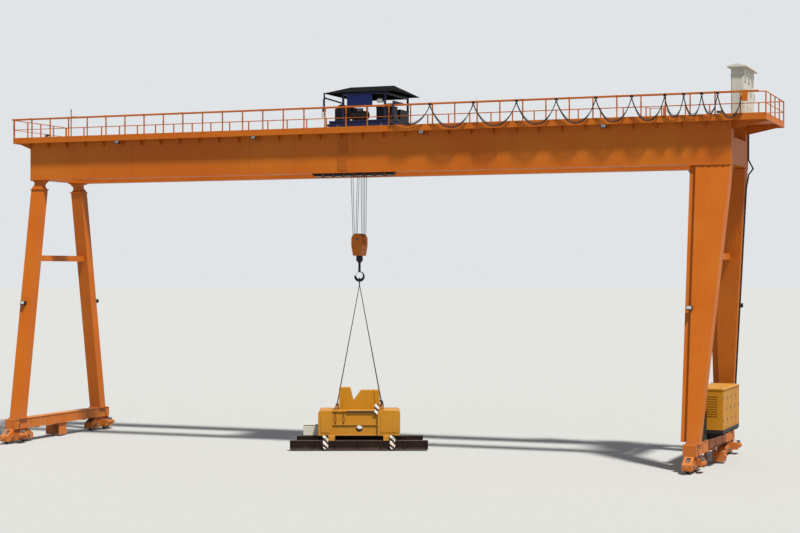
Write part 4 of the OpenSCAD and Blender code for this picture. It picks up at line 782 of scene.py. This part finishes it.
def share_time(share):
    """The time at which the smooth step reaches a share, by halving"""
    early, late = 0.0, 1.0
    for _ in range(40):
        middle = (early + late) / 2
        if middle * middle * (3 - 2 * middle) < share:
            early = middle
        else:
            late = middle
    return (early + late) / 2


times = [share_time((carriers[-1] - x) / (carriers[-1] - carriers[0])) for x in carriers]
print("times of the carriers", [round(t, 2) for t in times])

# %% [markdown]
# A stiff cable doesn't hang in a plain parabola: it leaves its carrier steeply and turns in a round bottom,
# which a power of 2.4 draws well. The three cables of a loop differ in thickness and in slack, so that they
# part at the bottom. The first loop starts lower, at the clamp on the trolley's arm.

# %% Festoon cables
tow_drop, deepest, loop_power, knots = 0.39, 1.05, 2.4, 25
cable_set = ((-0.032, 0.021, 0.0), (0.006, 0.017, -0.05), (0.034, 0.012, -0.11))
for i, (x0, x1) in enumerate(zip(carriers, carriers[1:])):
    towed = tow_drop if i == 0 else 0.0
    depth = min(deepest, 0.6 * (x1 - x0) + 0.42) - towed
    strands = []
    for offset, radius, slack in cable_set:
        points = []
        for n in range(knots):
            u = n / (knots - 1)
            sag = (depth + slack) * (1 - abs(2 * u - 1) ** loop_power)
            points.append((x0 + (x1 - x0) * u, festoon_y + offset, hang_z - 0.024 - towed * (1 - u) - sag))
        strands.append(cord(points, radius))
    loop = joined(f"festoon_loop_{i + 1}", strands, rubber)
    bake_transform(loop)
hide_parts("festoon_cable")

# %% [markdown]
# A carrier is a saddle under the track that clamps the cables between two plates and hangs on four small
# rollers. Where its own blend would begin over a stretch of 4 km is worked out, and is not used further.

# %% Festoon carriers
far = 4000.0
for i in range(1, len(carriers) - 1):
    x = carriers[i]
    parts = [box((x, festoon_y, hang_z + 0.012), (0.14, 0.1, 0.02), 0.004),
             box((x, festoon_y, hang_z - 0.05), (0.12, 0.104, 0.014), 0.004)]
    for dy in (-0.046, 0.046):
        parts.append(bar((x, festoon_y + dy, hang_z - 0.05), (x, festoon_y + dy, hang_z + 0.03), 0.006))
    for side in both:
        parts.append(box((x, festoon_y + side * 0.036, hang_z + 0.06), (0.13, 0.008, 0.1), 0.003))
        for dx in (-0.045, 0.045):
            parts.append(bar((x + dx, festoon_y + side * 0.024, hang_z + 0.085),
                             (x + dx, festoon_y + side * 0.05, hang_z + 0.085), 0.018))
    saddle = joined(f"festoon_carrier_{i}", parts, black_enamel)
    begin = x + times[i] * far
    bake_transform(saddle)
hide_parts("festoon_carriers")

# %% [markdown]
# Eight falls of rope carry the hook block. Each fall is a straight bar that has points only at its two ends.

# %% Falls of the hoist ropes
hook_x = sum(corners("block_sheaves"), Vector()).x / 2
lower_z = sum(corners("block_sheaves"), Vector()).z / 2
upper_z = sum(corners("top_sheaves"), Vector()).z / 2
drum_low, drum_high = corners("hoist_drum")
drum_x = (drum_low.x + drum_high.x) / 2
drum_z = drum_high.z - 0.325
rope, sheave_radius = 0.013, 0.22
fall = sheave_radius + rope
lower_y = (-0.255, -0.085, 0.085, 0.255)
drum_y = (-0.75, -0.42, 0.42, 0.75)
upper_y = (-0.42, -0.13, 0.13, 0.42)
left_top = (drum_z, upper_z, upper_z, drum_z)
falls = []
for low_y, left_y, left_z, right_y in zip(lower_y, drum_y, left_top, upper_y):
    for x, y, z in ((hook_x - fall, left_y, left_z), (hook_x + fall, right_y, upper_z)):
        falls.append(bar((x, low_y, lower_z), (x, y, z), rope, sides=12))
falls = joined("rope_falls", falls, rope_steel)
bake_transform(falls)
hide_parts("hoist_ropes")
print("falls", 2 * len(lower_y))

# %% [markdown]
# The rope goes on round the lower sheaves, over the upper ones, and lies in the grooves of the drum. Half
# turns of cord do for the sheaves, and rings for the drum, since a turn rises by only 90 mm on its way
# round and the canopy shades it.

# %% Turns of the hoist ropes
def half_turn(y, z, way):
    """Rope round half a sheave: under it for way -1, over it for way 1"""
    steps = 16
    angles = [math.pi * k / steps for k in range(steps + 1)]
    return cord([(hook_x + fall * math.cos(a), y, z + way * fall * math.sin(a)) for a in angles], rope)


fitted("lower_rope_turns", [half_turn(y, lower_z, -1) for y in lower_y], rope_steel, "block")
over = [half_turn(y, upper_z, 1) for y in upper_y]
over.append(cord([(hook_x - fall, y, upper_z) for y in upper_y[1:3]], rope))
fitted("upper_rope_turns", over, rope_steel, "trolley")
groove_radius, lay, first_groove, turns_a_side = 0.287, 0.09, 1.0 - 0.04, 8
turns = [ring((drum_x, side * (first_groove - k * lay), drum_z), (0, 1, 0), groove_radius, rope)
         for side in both for k in range(1, turns_a_side + 1)]
fitted("drum_rope_turns", turns, rope_steel, "trolley")
print("rope turns on the drum", len(turns))

# %% [markdown]
# The trolley carries the hoist. Its frame ends in rubber buffers, one over each rail, and each is a round
# nose on a wider foot. A blue sheet screens the machinery. It is corrugated, so it is made as a fine grid,
# which a wave with cut tops and bottoms folds before Solidify gives it its thickness.

# %% Buffers and screen of the trolley
frame_low, frame_high = corners("trolley_frame")
rail_y = 1.5
trolley_x = (frame_low.x + frame_high.x) / 2
deck_z = frame_high.z
buffer_z = frame_low.z + 0.17
trolley_buffers = []
for x, face in ((frame_low.x, -1), (frame_high.x, 1)):
    for y in (-rail_y, rail_y):
        for begin, end, radius in ((0.0, 0.02, 0.09), (0.02, 0.14, 0.065)):
            trolley_buffers.append(bar((x + face * begin, y, buffer_z), (x + face * end, y, buffer_z),
                                       radius, sides=24))
fitted("trolley_buffers", trolley_buffers, rubber, "trolley")

screen_length, screen_height, screen_at = 1.31, 0.56, trolley_x - 0.035
rib_pitch, rib_depth, rib_cut = 0.082, 0.009, 0.6
canopy_low = corners("canopy_roof")[0].z
bpy.ops.mesh.primitive_grid_add(x_subdivisions=176, y_subdivisions=2, size=1, location=(0, 0, 0))
screen = bpy.context.object
screen.scale = (screen_length, screen_height, 1)
settle(screen)
screen.rotation_euler = (math.radians(90), 0, 0)
settle(screen)
for point in screen.data.vertices:
    wave = math.cos(2 * math.pi * point.co.x / rib_pitch)
    point.co += Vector((screen_at, -rail_y - 0.036 - rib_depth * max(-rib_cut, min(rib_cut, wave)),
                        canopy_low - 0.09 - screen_height / 2))
applied(screen, "SOLIDIFY", thickness=0.002, offset=0)
fitted("screen_sheet", [screen], screen_enamel, "trolley")
print("ribs of the screen", round(screen_length / rib_pitch))

# %% [markdown]
# A lamp hangs under the eaves, and a hose hangs in a loop from the limit switch on its arm. A cord along
# seven points is enough for its one loop.

# %% Lamp and switch hose of the trolley
lamp_x, lamp_z = trolley_x + 1.08, canopy_low - 0.42
lamp_parts = [box((lamp_x, -rail_y - 0.09, lamp_z), (0.3, 0.14, 0.2), 0.01),
              bar((lamp_x, -rail_y - 0.03, lamp_z + 0.08), (lamp_x, -rail_y - 0.03, canopy_low - 0.05),
                  0.015)]
fitted("trolley_lamp", lamp_parts, black_enamel, "trolley")
fitted("trolley_lamp_glass", [box((lamp_x, -rail_y - 0.163, lamp_z), (0.26, 0.01, 0.16), 0.003)],
       glass, "trolley")

switch_x = corners("trolley_arm")[0].x + 0.06
switch_z = canopy_low - 0.22 - 0.64
hose = [(switch_x + dx, -rail_y + dy, switch_z + dz) for dx, dy, dz in (
    (0.0, -0.02, 0.0), (-0.02, -0.03, -0.16), (-0.07, -0.05, -0.28), (-0.1, -0.05, -0.24),
    (-0.09, -0.05, -0.02), (-0.05, -0.045, 0.3), (-0.036, -0.03, 0.62))]
fitted("switch_hose", [cord(hose, 0.014)], rubber, "trolley")
print("lamp at", round(lamp_x, 2))

# %% [markdown]
# Bolts hold the drum's pedestals and the canopy's posts down, and the hoist's motor has a terminal box. The
# tow cable is what the festoon feeds: it climbs the trolley's arm from the clamp, crosses over the handrail
# to a post and goes down it to the deck and the cabinet there.

# %% Deck bolts and tow cable of the trolley
post_x = (trolley_x - 0.9, trolley_x + 1.29)
pedestal_y = 1.06
deck_bolts = [bolts((drum_x - 0.22, y - 0.03, deck_z + 0.04), (0, 0, 1), run=(0.44, 0, 0), count=2,
                    over=(0, 0.06, 0), rows=2, size=0.014) for y in (-pedestal_y, pedestal_y)]
deck_bolts += [bolts((x - 0.08, y - 0.08, deck_z + 0.02), (0, 0, 1), run=(0.16, 0, 0), count=2,
                     over=(0, 0.16, 0), rows=2, size=0.012) for x in post_x for y in (-rail_y, rail_y)]
fitted("deck_bolts", deck_bolts, zinc, "trolley")
motor_x, motor_y = drum_x + 1.1, -1.27
fitted("motor_terminal_box", [box((motor_x, motor_y, deck_z + 0.52), (0.26, 0.2, 0.14)),
                              box((motor_x, motor_y, deck_z + 0.595), (0.28, 0.22, 0.012))],
       grey_enamel, "trolley")

tow_x = corners("trolley_arm")[1].x - 0.03
clamp_y, clamp_z, over_z = festoon_y - 0.052, hang_z - tow_drop, hang_z + 0.192
tow = [(tow_x, festoon_y - 0.04, clamp_z - 0.01), (tow_x, clamp_y, clamp_z + 0.1),
       (tow_x, clamp_y, hang_z + 0.13), (tow_x, clamp_y + 0.017, hang_z + 0.185),
       (tow_x, clamp_y + 0.07, over_z), (tow_x, -rail_y - 0.1, over_z),
       (tow_x - 0.1, -rail_y, over_z), (trolley_x + 1.42, -rail_y, over_z),
       (trolley_x + 1.36, -rail_y, hang_z + 0.12), (trolley_x + 1.36, -rail_y, deck_z + 0.1),
       (trolley_x + 1.34, -1.42, deck_z + 0.02), (trolley_x + 1.14, -1.1, deck_z + 0.02),
       (trolley_x + 1.12, -0.94, deck_z + 0.16)]
fitted("tow_cable", [cord(tow, 0.018)], rubber, "trolley")
print("trolley at", round(trolley_x, 3))

# %% [markdown]
# The hook block is bolted through its cheeks, and a spring latch closes the hook's mouth. The load hangs
# turned from the girders by 22 degrees. It could be modelled straight and turned at the end, but one small
# function that turns a place works for every fitting on it.

# %% Hook block, latch and sling pins
block_low, block_high = corners("hook_block")
block_x = (block_low.x + block_high.x) / 2
cheek_y = (block_high.y - block_low.y) / 2
cheek_bolts = []
for face in both:
    cheek_bolts.append(bolts((block_x - 0.2, face * cheek_y, block_low.z + 0.4), (0, face, 0),
                             run=(0.4, 0, 0), count=2, over=(0, 0, 0.18), rows=2, size=0.02))
    cheek_bolts.append(bolts((block_x, face * (cheek_y + 0.03), lower_z), (0, face, 0), size=0.045))
fitted("block_bolts", cheek_bolts, steel, "block")

load_turn = math.radians(22)
spin = Matrix.Rotation(load_turn, 3, "Z")


def on_load(x, y, z):
    """A place on the load, whose long side is turned from the girders"""
    return spin @ Vector((x, y, 0)) + Vector((hook_x, 0, z))


hook_middle = block_low.z - 0.97
latch = [bar(on_load(-0.06, 0, hook_middle + 0.2), on_load(-0.2, 0, hook_middle - 0.02), 0.012),
         bar(on_load(-0.055, -0.062, hook_middle + 0.2), on_load(-0.055, 0.062, hook_middle + 0.2), 0.018)]
fitted("hook_latch", latch, zinc, "load")

lug_x = 1.12
lug_z = corners("spreader_body")[1].z - 1.08 + 0.13
pins = []
for x in (-lug_x, lug_x):
    for side in both:
        pins.append(bar(on_load(x, side * 0.65, lug_z), on_load(x, side * 0.81, lug_z), 0.02))
        pins.append(bolts(on_load(x, side * 0.791, lug_z), spin @ Vector((0, side, 0)), size=0.03))
fitted("sling_pins", pins, zinc, "load")
print("sling pins", len(pins) // 2)

# %% [markdown]
# Lock cones stand under the ends of the spreader's beams and turn in the corners of what it lifts. The body
# has two hatches in its front, and a black strip above them is painted shadow in the gap under its head. A
# pale cover over the drive of the locks stands on the far beam. One more small function makes every box that
# turns with the load.

# %% Locks, hatches and covers of the spreader
beam_y = 1.22
cones = []
for y, half in ((-beam_y, 3.35), (beam_y, 3.15)):
    for end in both:
        x = end * (half - 0.16)
        for top, foot, radius in ((0.059, 0.028, 0.062), (0.03, 0.006, 0.045)):
            cones.append(bar(on_load(x, y, top), on_load(x, y, foot), radius, sides=20))
fitted("lock_cones", cones, steel, "load")


def load_box(size, place, edge):
    """A box that is turned with the load"""
    thing = box((0, 0, 0), size, edge)
    thing.rotation_euler = (0, 0, load_turn)
    thing.location = on_load(*place)
    return settle(thing)


body_front = -1.0
hatches = [load_box((wide, 0.016, 0.8), (x, body_front - 0.008, 1.25), 0.006)
           for x, wide in ((-1.65, 0.46), (1.45, 0.82))]
fitted("body_hatches", hatches, yellow_enamel, "load")
drive_cover = [load_box(size, (-2.45, beam_y, z), 0.012) for size, z in (
    ((0.74, 0.33, 0.52), 0.78), ((0.78, 0.37, 0.03), 1.055), ((0.76, 0.02, 0.06), 0.56))]
fitted("lock_drive_cover", drive_cover, cream_enamel, "load")
# This black box is painted shadow: it stands for the dark gap under the spreader's head, not for a real part.
shadow_strip = load_box((1.3, 0.03, 0.07), (0.05, -0.945, 1.868), 0.008)
fitted("painted_shadow_gap", [shadow_strip], rubber, "load")
print("lock cones", len(cones) // 2)

# %% [markdown]
# A flipper is a flat plate stiffened by a rib along each edge, and one more is folded up on the front of the
# body, on its hinge. The hoses hang in shallow bows between their fittings.

# %% Flippers and hoses of the spreader
flipper_x, flipper_y = 1.62, -1.44 - 0.035
ribs = [load_box((0.03, 0.07, 0.5), (x + dx, flipper_y, 0.42), 0.004)
        for x in (-flipper_x, flipper_x) for dx in (-0.1, 0.1)]
fitted("flipper_ribs", ribs, bands, "load")
raised = [load_box((0.2, 0.05, 0.44), (0.86, -0.95, 2.02), 0.01),
          load_box((0.3, 0.09, 0.14), (0.86, -0.94, 1.8), 0.01)]
fitted("raised_flipper", raised, bands, "load")
hose_route = ((0.0, -0.89, 1.86), (-0.02, -0.97, 1.7), (0.03, -0.985, 1.5), (0.0, -0.97, 1.35),
              (0.01, -0.9, 1.2))
hoses = [cord([on_load(x + dx, y, z) for dx, y, z in hose_route], 0.016) for x in (-1.15, -0.75, 1.12)]
fitted("spreader_hoses", hoses, rubber, "load")
print("hoses", len(hoses))

# %% [markdown]
# The supply cable is held to the far rigid leg by a saddle every 1.1 m. The leg leans and widens as it goes
# up, so a small function gives the cable's place at each height.

# %% Cable saddles
def supply(z):
    """The supply cable's place on the leg at a height"""
    part_up = (z - sill_high) / (girder_low.z - sill_high)
    return Vector((x_rigid + 0.0393 + 0.32 + 1.03 * part_up, foot_y - 2.0 * part_up, z))


lowest_saddle, highest_saddle, saddle_step = 3.6, 12.4, 1.1
clips = []
z = lowest_saddle
while z < highest_saddle:
    at = supply(z)
    clips.append(box(at + Vector((-0.003, 0, 0)), (0.09, 0.1, 0.03), 0.01))
    clips.append(box(at + Vector((-0.032, 0, 0)), (0.02, 0.18, 0.03), 0.003))
    clips.append(bolts(at + Vector((-0.022, -0.07, 0)), (1, 0, 0), run=(0, 0.14, 0), count=2, size=0.009))
    z += saddle_step
fitted("cable_saddles", clips, zinc)
print("cable saddles", len(clips) // 3)

# %% [markdown]
# The trolley rails are held down by clips on both sides of the foot, and rubber buffers wait on the stops at
# their ends. There are 232 clips, so one is modelled and an Array modifier repeats it along each rail.

# %% Rail clips and end buffers
rail_low, rail_high = corners("trolley_rails")
clip_pitch, clip_count, first_clip = 0.6, 58, rail_low.x + 0.5
rail_clips = []
for y in (-rail_y, rail_y):
    for face in both:
        clip = box((first_clip, y + face * 0.06, girder_high.z + 0.012), (0.07, 0.045, 0.022), 0.004)
        rail_clips.append(applied(clip, "ARRAY", count=clip_count, use_relative_offset=False,
                                  use_constant_offset=True, constant_offset_displace=(clip_pitch, 0, 0)))
        rail_clips.append(bolts((first_clip, y + face * 0.065, girder_high.z + 0.023), (0, 0, 1),
                                run=(clip_pitch, 0, 0), count=clip_count, size=0.01))
fitted("rail_clips", rail_clips, steel)

stops = [bar((x, y, buffer_z), (x + face * 0.14, y, buffer_z), 0.055, sides=24)
         for x, face in ((rail_low.x + 0.12, 1), (rail_high.x - 0.12, -1)) for y in (-rail_y, rail_y)]
fitted("rail_end_buffers", stops, rubber)
print("rail clips", 4 * clip_count)

# %% [markdown]
# The floor is pale and plain, and big enough for every view. The light is one broad, high sun lamp from the
# camera's right and a pale world, at a level where a colour on an upright face renders about as it is
# written. The camera and the reflections see a brighter background through Light Path, which adds no light
# to the crane.

# %% Floor and light
deselect()
bpy.ops.mesh.primitive_circle_add(vertices=96, radius=900, fill_type="NGON", location=(0, 0, 0))
floor = bpy.context.object
floor.name = "pale_floor"
floor.data.materials.append(start("pale floor", "A5A7A8", 0.9)[0])

sun_way = Vector((-0.45, 0.32, -1.0))
bpy.ops.object.light_add(type="SUN", rotation=sun_way.to_track_quat("-Z", "Y").to_euler())
sun = bpy.context.object
sun.data.energy = 6.2
sun.data.angle = math.radians(5)
sun.data.color = colour("FFFAF0")[:3]

world = bpy.data.worlds.new("pale world")
bpy.context.scene.world = world
world.use_nodes = True
sky = world.node_tree.nodes["Background"]
sky.inputs["Color"].default_value = colour("E4EBF4")
sky.inputs["Strength"].default_value = 0.36
paths = add(world, "LightPath")
seen = paths.outputs["Is Camera Ray"]
for kind in ("Is Glossy Ray", "Is Transmission Ray"):
    seen = add(world, "Math", {0: seen, 1: paths.outputs[kind]}, operation="MAXIMUM")
shown = add(world, "Background", {"Color": colour("E6E9EC"), "Strength": 0.95})
choose = add(world, "MixShader", {0: seen, 1: sky, 2: shown})
link(world, choose, world.node_tree.nodes["World Output"], "Surface")
bpy.context.scene.view_settings.view_transform = "Standard"
print("sun", sun.data.energy, "sky", sky.inputs["Strength"].default_value)
